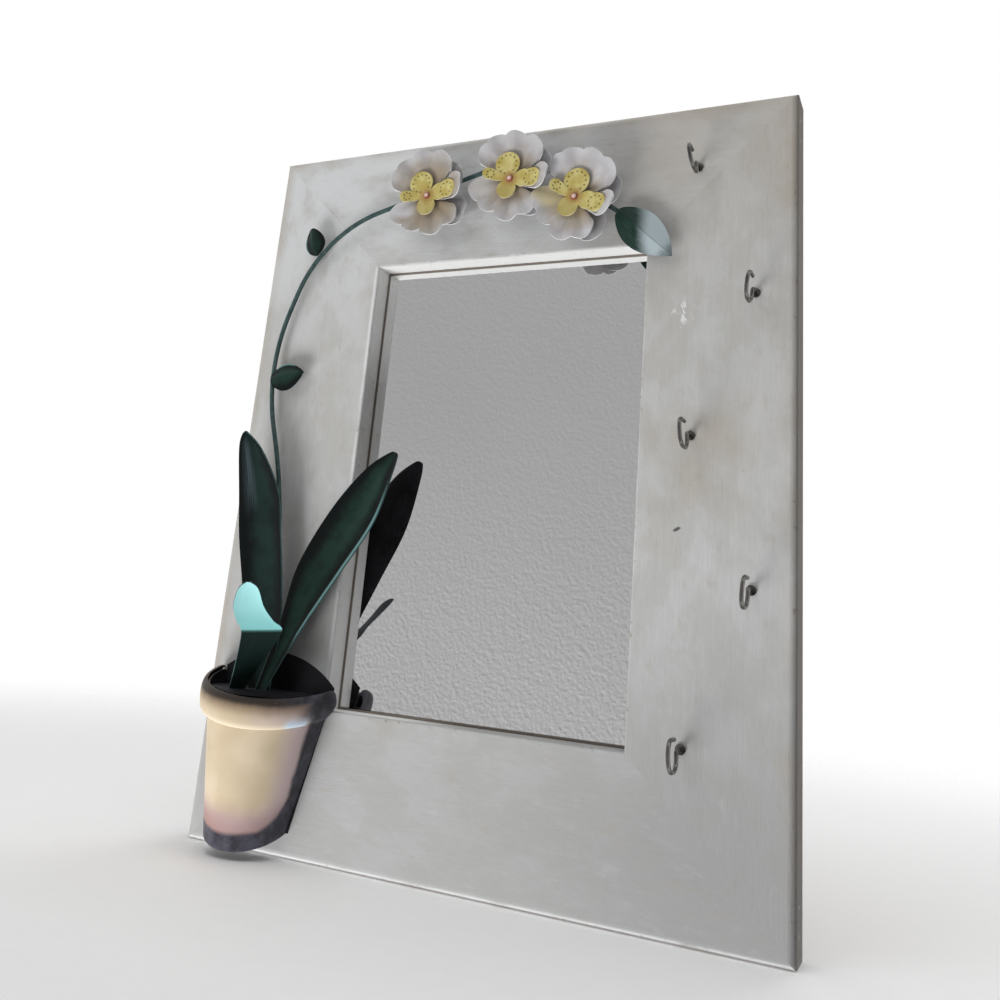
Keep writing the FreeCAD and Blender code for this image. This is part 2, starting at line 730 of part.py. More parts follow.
def pot_leaves():
    """Left tall leaf, right tall leaf and the front one that bends towards the viewer."""
    for side in ("left", "right"):
        key = side + "_leaf_"
        reach = "(%stip_height + leaf_sheet)" % key
        strip = bowed_strip(key + "strip", [(key + "foot_depth", SOIL), (key + "tip_depth", reach)], {0: key + "bow"})
        trimmed_leaf("leaf_%s_tall" % side, strip, key + "foot_near", key + "foot_far", key + "tip_side",
                     key + "tip_height", key + "near_swell", key + "far_swell")
    key = "front_leaf_"
    spots = [(key + "foot_depth", SOIL), (key + "bend_depth", key + "bend_height"),
             (key + "tip_depth", key + "tip_height + leaf_sheet")]
    strip = bowed_strip(key + "strip", spots, {})
    trimmed_leaf("leaf_front_bent", strip, key + "foot_near", key + "foot_far", key + "tip_side",
                 key + "tip_height", "-" + key + "near_swell", key + "far_swell")


# Stem of thick wire and its small leaves

STEM_END = ("frame_width * stem_end_share", "frame_height - stem_end_drop")
STEM_CORNERS = ("foot", "knee", "back", "shoulder", "crown", "end")


def stem_line():
    """The corners of the stem's line, from the soil up the left stile and over behind the flowers, and its bends."""
    spots = [
        ("stem_foot_side", "%s + stem_foot_gap" % SOIL),
        ("stem_knee_side", "stem_knee_height"),
        ("stem_back_side", "stem_back_height"),
        ("stem_shoulder_side", "frame_height - stem_shoulder_drop"),
        ("frame_width * stem_crown_share", "frame_height - stem_crown_drop"),
        STEM_END,
    ]
    depth = value("%s - stem_depth" % FRONT)
    corners = [FreeCAD.Vector(value("%s + %s" % (LEFT, x)), depth, value("%s + %s" % (FLOOR, z))) for x, z in spots]
    radii = []
    for before, corner, after in zip(corners, corners[1:], corners[2:]):
        half_turn = (corner - before).getAngle(after - corner) / 2
        shorter = min((corner - before).Length, (after - corner).Length)
        radii.append(value("stem_bend_share") * shorter / math.tan(half_turn))
    return corners, radii


def stem():
    """The stem's thick wire."""
    wire = doc.addObject("Part::Feature", "stem_wire")
    wire.Shape = wire_solid(rounded_path(*stem_line()), value("stem_radius"))
    keep(wire, "flower_stem")


def on_stem_bend(name, share):
    """The place at a share of one of the stem's bends."""
    corners, radii = stem_line()
    number = STEM_CORNERS.index(name)
    before, corner, after = corners[number - 1:number + 2]
    incoming = (corner - before).normalize()
    outgoing = (after - corner).normalize()
    turn = incoming.getAngle(outgoing)
    radius = radii[number - 1]
    centre = corner + (outgoing - incoming).normalize() * (radius / math.cos(turn / 2))
    arm = corner - incoming * (radius * math.tan(turn / 2)) - centre
    swing = FreeCAD.Rotation(incoming.cross(outgoing), math.degrees(turn * value(share)))
    return centre + swing.multVec(arm)


def small_leaf(label, key, x, z):
    """A pointed oval of sheet, cupped along its length, with its base at a place in front of the stem."""
    length, cup = key + "length", key + "cup_radius"
    half = "%swidth / 2" % key
    blank = prism(label + "_outline", "XZ_Plane", [("0", "0"), (length, "0")], {0: half, 1: half},
                  "2 * " + cup, ("0", "0", "0"))
    outer = rod(label + "_outer", cup, length, ("0", cup, "0"), TOWARDS_RIGHT)
    inner = rod(label + "_inner", cup + " - small_leaf_sheet", length, ("0", cup, "0"), TOWARDS_RIGHT)
    leaf = common(label + "_trim", cut(label + "_cup", outer, inner), blank)
    in_front = "%s - stem_depth - stem_radius - stem_leaf_gap - small_leaf_sheet" % FRONT
    turn = FreeCAD.Rotation(FRONT_Y, -value(key + "turn_angle"))
    place(leaf, x, in_front, z, turn)
    keep(leaf, label)


def small_leaves():
    """Two leaves along the stem and a larger one at its end."""
    upper = on_stem_bend("shoulder", "upper_leaf_bend_share")
    lower = on_stem_bend("back", "lower_leaf_bend_share")
    small_leaf("stem_leaf_upper", "upper_leaf_", upper.x, upper.z)
    small_leaf("stem_leaf_lower", "lower_leaf_", lower.x, lower.z)
    small_leaf("stem_end_leaf", "end_leaf_", "%s + %s" % (LEFT, STEM_END[0]), "%s + %s" % (FLOOR, STEM_END[1]))


# Flowers: dished petal layers and a lip, threaded on a pin that is driven into the top rail

def petal_layer(which, layer, x, z):
    """Round lobes about a hub, cut from a dished sheet, its middle standing off the frame's front."""
    name = "%s_flower_%s" % (which, layer)
    dish = layer + "_dish"
    middle_y = "%s - %s_stand" % (FRONT, layer)
    behind = "%s + overrun" % middle_y
    lobes = [rod(name + "_hub", "petal_hub_radius", dish, (x, behind, z), TOWARDS_FRONT)]
    for index, angle in enumerate(LOBE_ANGLES[layer]):
        turn = FLOWER_TURN_ANGLES[which] + angle
        lobe_x = "%s + %s_offset * cos(%d)" % (x, layer, turn)
        lobe_z = "%s + %s_offset * sin(%d)" % (z, layer, turn)
        lobes.append(rod("%s_lobe_%d" % (name, index), layer + "_radius", dish, (lobe_x, behind, lobe_z), TOWARDS_FRONT))
    bowls = []
    for face, radius in (("outer", dish), ("inner", "%s - petal_sheet" % dish)):
        bowl = doc.addObject("Part::Sphere", "%s_%s" % (name, face))
        bind(bowl, {"Radius": radius})
        bowls.append(place(bowl, x, "%s - %s" % (middle_y, dish), z))
    lobed = common(name + "_lobed", cut(name + "_dished", *bowls), join(name + "_lobes", lobes))
    hole = rod(name + "_hole", "pin_radius + pin_clearance", dish, (x, behind, z), TOWARDS_FRONT)
    keep(cut(name, lobed, hole), "flower_%s_%s" % (which, layer if layer == "lip" else layer + "s"))


def flower(which):
    """One flower: back petals, front petals, lip and pin."""
    x = "%s + frame_width * %s_flower_share" % (LEFT, which)
    z = "%s - %s_flower_drop" % (TOP, which)
    for layer in LOBE_ANGLES:
        petal_layer(which, layer, x, z)
    name = which + "_flower_pin"
    stand = "(lip_stand + petal_sheet + pin_head_gap)"
    under_head = (x, "%s - %s" % (FRONT, stand), z)
    shank_length = "%s + pin_depth_in_wood" % stand
    head = rod(name + "_head", "pin_head_radius", "pin_head_height", under_head, TOWARDS_FRONT)
    shank = rod(name + "_shank", "pin_radius", shank_length, under_head, TOWARDS_WALL)
    bore(name, "pin_radius", shank_length, under_head, TOWARDS_WALL)
    keep(join(name, [head, shank]), "flower_%s_pin" % which)


def build():
    """Make every piece, then drill the boards for all the shanks that enter them."""
    blanks = frame_boards()
    corner_nails()
    glazing()
    turn_buttons()
    hangers()
    wall_bumpers()
    hooks()
    pot()
    pot_leaves()
    stem()
    small_leaves()
    for which in ("first", "second", "third"):
        flower(which)
    drill = join("all_bores", bores)
    for label, blank in blanks.items():
        keep(cut(label + "_drilled", blank, drill), label)
    doc.recompute()


def check_and_write():
    """Refuse a failed object or an empty piece, then write one file for each piece."""
    for item in doc.Objects:
        if "Invalid" in item.State or "Error" in item.State:
            raise RuntimeError("%s failed: %s" % (item.Name, item.State))
    for item in nodes:
        shape = item.Shape
        if shape.isNull() or not shape.isValid() or not shape.Solids:
            raise RuntimeError("%s has no valid solid" % item.Label)
    os.makedirs("parts", exist_ok=True)
    for item in nodes:
        item.Shape.exportStep("parts/%s.step" % item.Label)
        print("%-28s %d solid(s) %10.1f mm3" % (item.Label, len(item.Shape.Solids), item.Shape.Volume))


build()
check_and_write()
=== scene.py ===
import math

import bmesh
import bpy
from mathutils import Matrix, Vector


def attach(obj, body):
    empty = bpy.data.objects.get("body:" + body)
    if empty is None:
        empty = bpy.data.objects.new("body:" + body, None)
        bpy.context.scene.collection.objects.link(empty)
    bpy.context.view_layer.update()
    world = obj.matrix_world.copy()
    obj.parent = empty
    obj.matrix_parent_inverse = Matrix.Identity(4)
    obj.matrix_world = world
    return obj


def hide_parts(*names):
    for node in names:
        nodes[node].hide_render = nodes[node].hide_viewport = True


# A painted wooden wall mirror with a sheet-metal orchid and wire hooks, dressed over its solids.
# Shapes are measured in millimetres and placed by spot(); the scene and its paints are in metres.

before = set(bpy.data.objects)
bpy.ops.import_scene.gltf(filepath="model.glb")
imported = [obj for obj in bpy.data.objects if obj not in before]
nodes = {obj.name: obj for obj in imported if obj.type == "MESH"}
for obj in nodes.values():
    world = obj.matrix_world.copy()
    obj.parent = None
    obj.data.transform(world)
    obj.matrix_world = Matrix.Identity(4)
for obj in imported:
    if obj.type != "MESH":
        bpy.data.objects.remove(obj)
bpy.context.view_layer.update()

MM = 0.001
MAIN = "mirror"
SHARP_ANGLE = math.radians(42)
NO_AREA = 1e-14

# Frame sizes

FRAME_WIDTH = 360.0
FRAME_HEIGHT = 453.0
FRONT_STAND = 26.3
LEFT_STILE, RIGHT_STILE = 89.0, 86.0
BOTTOM_RAIL, TOP_RAIL = 84.0, 87.0

# Half the frame, and the edges of its opening, in metres from its middle

HALF_WIDTH = FRAME_WIDTH / 2 * MM
HALF_HEIGHT = FRAME_HEIGHT / 2 * MM
OPENING_LEFT = LEFT_STILE * MM - HALF_WIDTH
OPENING_RIGHT = HALF_WIDTH - RIGHT_STILE * MM
OPENING_LOW = BOTTOM_RAIL * MM - HALF_HEIGHT
OPENING_HIGH = HALF_HEIGHT - TOP_RAIL * MM


def spot(side, height, out=0.0):
    """A place measured from the frame's lower left corner and out from its front face."""
    return Vector((side - FRAME_WIDTH / 2, -FRONT_STAND - out, height - FRAME_HEIGHT / 2)) * MM


def smooth(share):
    """Eases a share from 0 to 1."""
    share = max(0.0, min(1.0, share))
    return share * share * (3 - 2 * share)


def through(points, share):
    """A smooth curve through points, read at a share of its length by count."""
    last = len(points) - 1
    place = min(max(share, 0.0), 1.0) * last
    index = min(int(place), last - 1)
    t = place - index
    a = Vector(points[max(index - 1, 0)])
    b = Vector(points[index])
    c = Vector(points[index + 1])
    d = Vector(points[min(index + 2, last)])
    slope = c - a
    bend = 2 * a - 5 * b + 4 * c - d
    twist = 3 * b - a - 3 * c + d
    return 0.5 * (2 * b + slope * t + bend * t ** 2 + twist * t ** 3)


# Surfaces: a small painter that turns arithmetic into shader nodes


class Tone:
    """A value or colour that varies over a surface."""

    def __init__(self, painter, socket):
        self.painter = painter
        self.socket = socket

    def maths(self, operation, first, second=None):
        return self.painter.node("ShaderNodeMath", {0: first, 1: second}, operation=operation)

    def __add__(self, other):
        return self.maths("ADD", self, other)

    def __radd__(self, other):
        return self.maths("ADD", other, self)

    def __sub__(self, other):
        return self.maths("SUBTRACT", self, other)

    def __rsub__(self, other):
        return self.maths("SUBTRACT", other, self)

    def __mul__(self, other):
        return self.maths("MULTIPLY", self, other)

    def __rmul__(self, other):
        return self.maths("MULTIPLY", other, self)

    def __pow__(self, other):
        return self.maths("POWER", self, other)

    def __abs__(self):
        return self.maths("ABSOLUTE", self)

    def least(self, other):
        return self.maths("MINIMUM", self, other)

    def most(self, other):
        return self.maths("MAXIMUM", self, other)

    def rise(self, low, high):
        """0 below low, 1 above high, eased between; falls instead where low is above high."""
        if low > high:
            return 1.0 - self.rise(high, low)
        sockets = {"Value": self, "From Min": low, "From Max": high}
        return self.painter.node("ShaderNodeMapRange", sockets, interpolation_type="SMOOTHSTEP")


def distance(first, second):
    """How far a place lies from zero, from its two tones."""
    return (first * first + second * second) ** 0.5


class Painter:
    """One material, written as sums of tones."""

    def __init__(self, name):
        self.material = bpy.data.materials.new(name)
        self.material.use_nodes = True
        self.tree = self.material.node_tree
        self.tree.nodes.clear()

    def node(self, kind, inputs, output=0, **settings):
        made = self.tree.nodes.new(kind)
        for key, value in settings.items():
            setattr(made, key, value)
        for key, value in inputs.items():
            self.feed(made.inputs[key], value)
        return Tone(self, made.outputs[output])

    def feed(self, socket, value):
        if value is None:
            return
        if isinstance(value, Tone):
            self.tree.links.new(value.socket, socket)
        elif isinstance(value, tuple) and socket.type == "RGBA":
            socket.default_value = (*value, 1.0)
        else:
            socket.default_value = value

    def place(self, axes="XYZ"):
        """The surface's place in the object's own frame, along the axes asked for."""
        where = self.node("ShaderNodeTexCoord", {}, output="Object")
        return [self.node("ShaderNodeSeparateXYZ", {0: where}, output=axis) for axis in axes]

    def sheet_place(self, axes="XY"):
        """The place on a piece's own map, along the directions asked for."""
        where = self.node("ShaderNodeTexCoord", {}, output="UV")
        return [self.node("ShaderNodeSeparateXYZ", {0: where}, output=axis) for axis in axes]

    def point(self, x, y, z):
        return self.node("ShaderNodeCombineXYZ", {0: x, 1: y, 2: z})

    def noise(self, where, scale, detail, roughness):
        sockets = {"Vector": where, "Scale": scale, "Detail": detail, "Roughness": roughness}
        return self.node("ShaderNodeTexNoise", sockets)

    def even_noise(self, scale, detail, roughness):
        """Noise that is the same in every direction."""
        where = self.node("ShaderNodeTexCoord", {}, output="Object")
        return self.noise(where, scale, detail, roughness)

    def angle(self, up, beside):
        """The angle of a flat place round zero."""
        return self.node("ShaderNodeMath", {0: up, 1: beside}, operation="ARCTAN2")

    def mix(self, share, first, second):
        return self.node("ShaderNodeMix", {0: share, 6: first, 7: second}, output=2, data_type="RGBA")

    def bump(self, height, depth, strength):
        return self.node("ShaderNodeBump", {"Height": height, "Distance": depth, "Strength": strength})

    def finish(self, colour, roughness, metallic=0.0, normal=None, specular=None, alpha=None):
        sockets = {"Base Color": colour, "Roughness": roughness, "Metallic": metallic, "Normal": normal}
        sockets["Specular IOR Level"] = specular
        sockets["Alpha"] = alpha
        return self.show(self.node("ShaderNodeBsdfPrincipled", sockets))

    def show(self, shade):
        end = self.tree.nodes.new("ShaderNodeOutputMaterial")
        self.tree.links.new(shade.socket, end.inputs["Surface"])
        return self.material


# Painted wood of the frame

CREAM = (0.455, 0.45, 0.432)
CREAM_LIGHT = (0.555, 0.56, 0.562)
# The next colour is painted shade, laid over the boards low down.
CREAM_SHADED = (0.33, 0.332, 0.33)
# The next colour is partly fresher paint and partly painted light, at the upper left and top middle.
CREAM_FRESH_LIT = (0.66, 0.67, 0.68)
CREAM_RUBBED = (0.62, 0.62, 0.61)
BEIGE = (0.385, 0.335, 0.27)
BARE_WOOD = (0.25, 0.185, 0.125)
GRIME = (0.12, 0.10, 0.085)
# The next colour is a painted highlight along the foot's rounded edge.
FOOT_HIGHLIGHT_WHITE = (0.78, 0.79, 0.81)
# The next colour is partly the sides' own brown and partly painted shade.
SIDE_BROWN_SHADE = (0.22, 0.195, 0.175)
# The next two colours are painted light round the opening.
REVEAL_HIGHLIGHT = (0.96, 0.96, 0.95)
LEFT_LIP_HIGHLIGHT = (0.80, 0.80, 0.81)
SCUFF_WHITE = (0.82, 0.82, 0.82)
NICK_DARK = (0.05, 0.047, 0.047)
RAW_DARK = (0.30, 0.19, 0.10)
RAW_LIGHT = (0.52, 0.38, 0.24)
RAW_BROWN = (0.36, 0.25, 0.15)
SCUFF_PLACE = spot(296.5, 322.0)
NICK_PLACE = spot(297.8, 199.5)
NICK_SLANT = math.radians(28)


def opening_edges(x, z):
    """How far a place lies inside the opening's sides, and inside its top and bottom."""
    beside = (x - OPENING_LEFT).least(OPENING_RIGHT - x)
    upright = (z - OPENING_LOW).least(OPENING_HIGH - z)
    return beside, upright


class BoardWear:
    """How far a place on a board lies from its edges, and the noises that wear its paint."""

    def __init__(self, paint, x, y, z, along_x):
        beside, self.upright = opening_edges(x, z)
        self.inner = abs(beside.least(self.upright))
        self.outer = (HALF_WIDTH - abs(x)).least(HALF_HEIGHT - abs(z))
        run, cross = (x, z) if along_x else (z, x)

        def drawn_out(along, over):
            return paint.point(run * along, cross * over, y * over)

        self.streaks = paint.noise(drawn_out(9.0, 150.0), 4.0, 4.0, 0.6)
        self.fine = paint.noise(drawn_out(30.0, 700.0), 2.0, 3.0, 0.6)
        self.wash = paint.noise(drawn_out(26.0, 40.0), 1.0, 5.0, 0.62)
        self.rubbed = paint.noise(drawn_out(60.0, 130.0), 1.0, 6.0, 0.68)
        self.grain = paint.noise(paint.point(run * 8.0, cross * 160.0, 0.0), 3.0, 5.0, 0.65)
        self.patches = paint.even_noise(11.0, 4.0, 0.6)
        self.cloud = paint.even_noise(5.0, 2.0, 0.5)
        self.speck = paint.even_noise(260.0, 3.0, 0.65)


def cream_wash(paint, wear, x, z):
    """The patchy wash, warm at the upper right, with painted shade low down and towards the lower right, and
    lighter at the upper left and top middle, partly fresher paint and partly painted light.
    """
    light = wear.streaks.rise(0.3, 0.75) * 0.25 + wear.cloud.rise(0.3, 0.7) * 0.35
    light = light + wear.wash.rise(0.42, 0.6) * 0.5
    colour = paint.mix(light, CREAM, CREAM_LIGHT)
    colour = paint.mix(wear.patches.rise(0.52, 0.78) * 0.5, colour, BEIGE)
    # Painted shade: the boards are darker low down, and more so towards the lower right.
    low_shade = z.rise(-0.03, -0.2) * (x.rise(0.0, 0.14) * 0.35 + 0.6)
    colour = paint.mix(low_shade, colour, CREAM_SHADED)
    warm_corner = z.rise(-0.05, 0.2) * x.rise(-0.02, 0.13)
    colour = paint.mix(warm_corner * wear.cloud.rise(0.4, 0.66) * 0.5, colour, BEIGE)
    # Lighter at the upper left and top middle: partly fresher paint, partly painted light over the top rail
    # where the flowers shade it.
    fresh_and_lit_corner = z.rise(0.05, 0.2) * x.rise(0.11, 0.01)
    colour = paint.mix(fresh_and_lit_corner * wear.wash.rise(0.25, 0.55) * 0.8, colour, CREAM_FRESH_LIT)
    colour = paint.mix(wear.fine.rise(0.6, 0.8) * 0.1, colour, BEIGE)
    colour = paint.mix(wear.rubbed.rise(0.56, 0.72) * 0.3, colour, BEIGE)
    return paint.mix(wear.rubbed.rise(0.47, 0.26) * 0.14, colour, CREAM_RUBBED)


def edge_wear(paint, wear, colour, z):
    """Beige and chipped along the edges, brown on the outer sides, partly their own colour and partly painted
    shade, with a painted highlight along the foot.
    """
    above_foot = z.rise(-0.21, -0.16)
    rubbed_edge = wear.outer.rise(0.012, 0.0) * wear.patches.rise(0.35, 0.65) * above_foot
    colour = paint.mix(rubbed_edge * 0.6, colour, BEIGE)
    # Painted highlight along the rounded lower edge of the foot.
    foot_highlight = (z + HALF_HEIGHT).rise(0.0028, 0.0012) * wear.wash.rise(0.3, 0.5)
    colour = paint.mix(foot_highlight * 0.6, colour, FOOT_HIGHLIGHT_WHITE)
    chips = wear.outer.least(wear.inner).rise(0.0028, 0.0004) * wear.speck.rise(0.6, 0.68)
    colour = paint.mix(chips * 0.55, colour, BARE_WOOD)
    dots = wear.speck.rise(0.735, 0.77) * wear.patches.rise(0.4, 0.6)
    colour = paint.mix(dots * 0.7, colour, GRIME)
    # The outer sides brown, partly their own colour and partly painted shade.
    colour = paint.mix(wear.outer.rise(0.0012, 0.0002) * 0.75, colour, SIDE_BROWN_SHADE)
    return colour, chips


def opening_highlights(paint, wear, colour, x, y, z):
    """Painted light round the opening: the top wall and the lower left wall painted near white, and a painted
    highlight along the opening's left edge.
    """
    # Painted light on the opening's top wall and on the lower part of its left wall.
    lit_reveal = wear.inner.rise(0.0007, 0.0002) * y.rise(-0.0258, -0.0246)
    lit_walls = z.rise(0.05, 0.1).most(z.rise(0.04, -0.06) * x.rise(0.0, -0.05))
    colour = paint.mix(lit_reveal * lit_walls * 0.85, colour, REVEAL_HIGHLIGHT)
    # Painted highlight along the opening's rounded left edge.
    left_lip_highlight = (x - OPENING_LEFT).rise(-0.0032, -0.0012) * y.rise(-0.0252, -0.0258)
    left_lip_highlight = left_lip_highlight * wear.upright.rise(-0.001, 0.001) * x.rise(0.0, -0.01)
    return paint.mix(left_lip_highlight * wear.patches.rise(0.3, 0.55) * 0.75, colour, LEFT_LIP_HIGHLIGHT)


def stile_marks(paint, colour, x, y, z):
    """A white scuff and a short dark nick on the right stile."""
    far = distance(x - SCUFF_PLACE.x, (z - SCUFF_PLACE.z) * 0.75)
    ragged = paint.noise(paint.point(x, y, z * 0.5), 330.0, 4.0, 0.7)
    scuff = far.rise(0.009, 0.002) * ragged.rise(0.52, 0.6)
    colour = paint.mix(scuff * 0.85, colour, SCUFF_WHITE)
    from_x = x - NICK_PLACE.x
    from_z = z - NICK_PLACE.z
    along = from_x * math.cos(NICK_SLANT) + from_z * math.sin(NICK_SLANT)
    across = from_z * math.cos(NICK_SLANT) - from_x * math.sin(NICK_SLANT)
    nick = distance(along * 0.4, across).rise(0.0011, 0.0005)
    return paint.mix(nick * 0.85, colour, NICK_DARK), nick


def bare_back(paint, wear, colour, y):
    """Raw wood on the back."""
    raw = paint.mix(wear.grain.rise(0.3, 0.68), RAW_DARK, RAW_LIGHT)
    raw = paint.mix(wear.cloud.rise(0.4, 0.65) * 0.4, raw, RAW_BROWN)
    return paint.mix(y.rise(-0.0056, -0.0051), colour, raw)


def painted_wood(name, along_x):
    """Worn cream wash over wood, brushed along the board; bare at the back."""
    paint = Painter(name)
    x, y, z = paint.place()
    wear = BoardWear(paint, x, y, z, along_x)
    colour = cream_wash(paint, wear, x, z)
    colour, chips = edge_wear(paint, wear, colour, z)
    colour = opening_highlights(paint, wear, colour, x, y, z)
    colour, nick = stile_marks(paint, colour, x, y, z)
    colour = bare_back(paint, wear, colour, y)
    height = wear.streaks * 0.2 + wear.fine * 0.2 + wear.speck * 0.2 + wear.patches * 0.6
    height = height + wear.wash * 0.9 + wear.rubbed * 0.9 - chips * 0.8 - nick * 2.0
    relief = paint.bump(height, 0.0006, 0.65)
    return paint.finish(colour, 0.62 + wear.patches * 0.12, normal=relief, specular=0.3)


# Glass, metal, board and rubber


def mirror_silver():
    """Silvered glass with a painted shadow, a dark line where it goes under the frame's lip."""
    paint = Painter("mirror_silver")
    x, z = paint.place("XZ")
    beside, upright = opening_edges(x, z)
    edge = beside.least(upright)
    # Painted shadow of the frame's lip along the glass's edges.
    colour = paint.mix(edge.rise(0.0021, 0.0014), (0.95, 0.95, 0.95), (0.24, 0.21, 0.18))
    return paint.finish(colour, 0.015, metallic=1.0)


def plain_metal(name, light, dark, roughness, scale=220.0):
    """Bare metal with faint blotches."""
    paint = Painter(name)
    blotch = paint.even_noise(scale, 4.0, 0.6)
    colour = paint.mix(blotch.rise(0.4, 0.7), light, dark)
    relief = paint.bump(blotch, 0.0001, 0.3)
    return paint.finish(colour, roughness + blotch * 0.15, metallic=1.0, normal=relief)


def rough_board():
    """Brown fibreboard."""
    paint = Painter("fibreboard")
    fibre = paint.even_noise(420.0, 5.0, 0.7)
    cloud = paint.even_noise(14.0, 3.0, 0.5)
    colour = paint.mix(fibre.rise(0.3, 0.7), (0.20, 0.125, 0.07), (0.33, 0.22, 0.13))
    colour = paint.mix(cloud.rise(0.4, 0.7) * 0.4, colour, (0.17, 0.11, 0.065))
    return paint.finish(colour, 0.8, normal=paint.bump(fibre, 0.0003, 0.5))


def soft_rubber():
    """Black rubber pads."""
    paint = Painter("bumper_rubber")
    grit = paint.even_noise(600.0, 3.0, 0.6)
    colour = paint.mix(grit, (0.02, 0.02, 0.02), (0.05, 0.05, 0.05))
    return paint.finish(colour, 0.75, normal=paint.bump(grit, 0.0002, 0.4))


# Painted tin


def black_tin(name):
    """Black painted tin with a few scratches to the metal."""
    paint = Painter(name)
    speck = paint.even_noise(320.0, 4.0, 0.7)
    cloud = paint.even_noise(30.0, 3.0, 0.6)
    colour = paint.mix(cloud.rise(0.35, 0.7), (0.010, 0.010, 0.012), (0.026, 0.025, 0.029))
    colour = paint.mix(speck.rise(0.72, 0.76) * 0.6, colour, (0.20, 0.20, 0.20))
    return paint.finish(colour, 0.5 + cloud * 0.2, normal=paint.bump(speck, 0.0002, 0.35), specular=0.12)


def flat_tin(name, light, dark, roughness=0.4):
    """Plain painted tin with faint blotches."""
    paint = Painter(name)
    blotch = paint.even_noise(180.0, 4.0, 0.6)
    colour = paint.mix(blotch.rise(0.35, 0.7), light, dark)
    relief = paint.bump(blotch, 0.0002, 0.35)
    return paint.finish(colour, roughness + blotch * 0.15, normal=relief, specular=0.3)


# Shapes


def link_piece(name, mesh, replaced):
    """Puts a finished mesh in the scene, on the frame's body, in place of its solids."""
    piece = bpy.data.objects.new(name, mesh)
    bpy.context.scene.collection.objects.link(piece)
    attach(piece, MAIN)
    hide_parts(*replaced)


def make_piece(name, points, places, faces, marks, materials, replaced):
    """A closed mesh from points, with a map place for each and a material number for each face."""
    mesh = bpy.data.meshes.new(name)
    mesh.from_pydata([tuple(point) for point in points], [], faces)
    for material in materials:
        mesh.materials.append(material)
    layer = mesh.uv_layers.new(name="map")
    for loop in mesh.loops:
        layer.data[loop.index].uv = places[loop.vertex_index]
    for polygon, mark in zip(mesh.polygons, marks):
        polygon.material_index = mark
        polygon.use_smooth = True
    build = bmesh.new()
    build.from_mesh(mesh)
    bmesh.ops.recalc_face_normals(build, faces=build.faces)
    build.to_mesh(mesh)
    build.free()
    mesh.set_sharp_from_angle(angle=SHARP_ANGLE)
    link_piece(name, mesh, replaced)


def rim_loops(at, rows, columns, round_way):
    """The open edges of a sheet's grid, each a loop of point numbers."""
    if round_way:
        inner = [at(0, column) for column in range(columns + 1)]
        outer = [at(rows - 1, column) for column in range(columns, -1, -1)]
        return [inner, outer]
    loop = [at(0, column) for column in range(columns)]
    loop += [at(row, columns - 1) for row in range(1, rows)]
    loop += [at(rows - 1, column) for column in range(columns - 2, -1, -1)]
    loop += [at(row, 0) for row in range(rows - 2, -1, -1)]
    return [loop]


def sheet_back(front, at, rows, columns, thick):
    """The points of a sheet's back, each thick behind its front point."""
    back = []
    for row in range(rows):
        for column in range(columns):
            wide = front[at(row, column + 1)] - front[at(row, column - 1)]
            tall = front[at(row + 1, column)] - front[at(row - 1, column)]
            out = wide.cross(tall)
            out = out.normalized() if out.length > NO_AREA else Vector((0, -1, 0))
            back.append(front[at(row, column)] - out * thick * MM)
    return back


def sheet_piece(name, surface, across, along, thick, materials, replaced, round_way=False):
    """A thin sheet. surface(u, v) gives a point and a map place; the back lies thick behind it.

    The materials are for its front, its cut edge and, where there are three, its back.
    """
    columns = across if round_way else across + 1
    rows = along + 1
    front = []
    places = []
    for row in range(rows):
        for column in range(columns):
            point, place = surface(column / across, row / along)
            front.append(point)
            places.append(place)

    def at(row, column):
        if round_way:
            column %= columns
        return min(max(row, 0), rows - 1) * columns + min(max(column, 0), columns - 1)

    back = sheet_back(front, at, rows, columns, thick)
    count = len(front)
    back_mark = 2 if len(materials) > 2 else 0
    faces = []
    marks = []
    for row in range(rows - 1):
        for column in range(columns if round_way else columns - 1):
            ring = [at(row, column), at(row, column + 1), at(row + 1, column + 1), at(row + 1, column)]
            faces.append(tuple(ring))
            faces.append(tuple(index + count for index in reversed(ring)))
            marks += [0, back_mark]
    for loop in rim_loops(at, rows, columns, round_way):
        for first, second in zip(loop, loop[1:]):
            faces.append((second, first, first + count, second + count))
            marks.append(1)
    make_piece(name, front + back, places + places, faces, marks, materials, replaced)


# Frame, glass and rear hardware keep their solids


def dress_solids():
    """Surfaces for the nodes that keep their own shape."""
    across = painted_wood("cream_wash_rails", True)
    upright = painted_wood("cream_wash_stiles", False)
    zinc = plain_metal("zinc_steel", (0.52, 0.52, 0.51), (0.43, 0.43, 0.425), 0.34)
    screw_steel = plain_metal("screw_steel", (0.30, 0.29, 0.27), (0.20, 0.19, 0.18), 0.3)
    nickel = plain_metal("nickel_wire", (0.20, 0.192, 0.182), (0.115, 0.11, 0.104), 0.1, 90.0)
    looks = {
        "frame_top_rail": across,
        "frame_bottom_rail": across,
        "frame_left_stile": upright,
        "frame_right_stile": upright,
        "mirror_glass": mirror_silver(),
        "backing_board": rough_board(),
        "wall_bumpers": soft_rubber(),
        "pot_back_plate": black_tin("plate_black"),
        "pot_soil_plate": black_tin("soil_black"),
    }
    for name, node in nodes.items():
        if name.startswith("cup_hook"):
            looks[name] = nickel
        elif name.endswith(("_screws", "_nails")):
            looks[name] = screw_steel
        elif name.startswith(("turn_button", "hanger")):
            looks[name] = zinc
        if name in looks:
            node.data.materials.clear()
            node.data.materials.append(looks[name])


# Pot: a tapered half-round wall and a rounded band on its rim, on the flat back plate

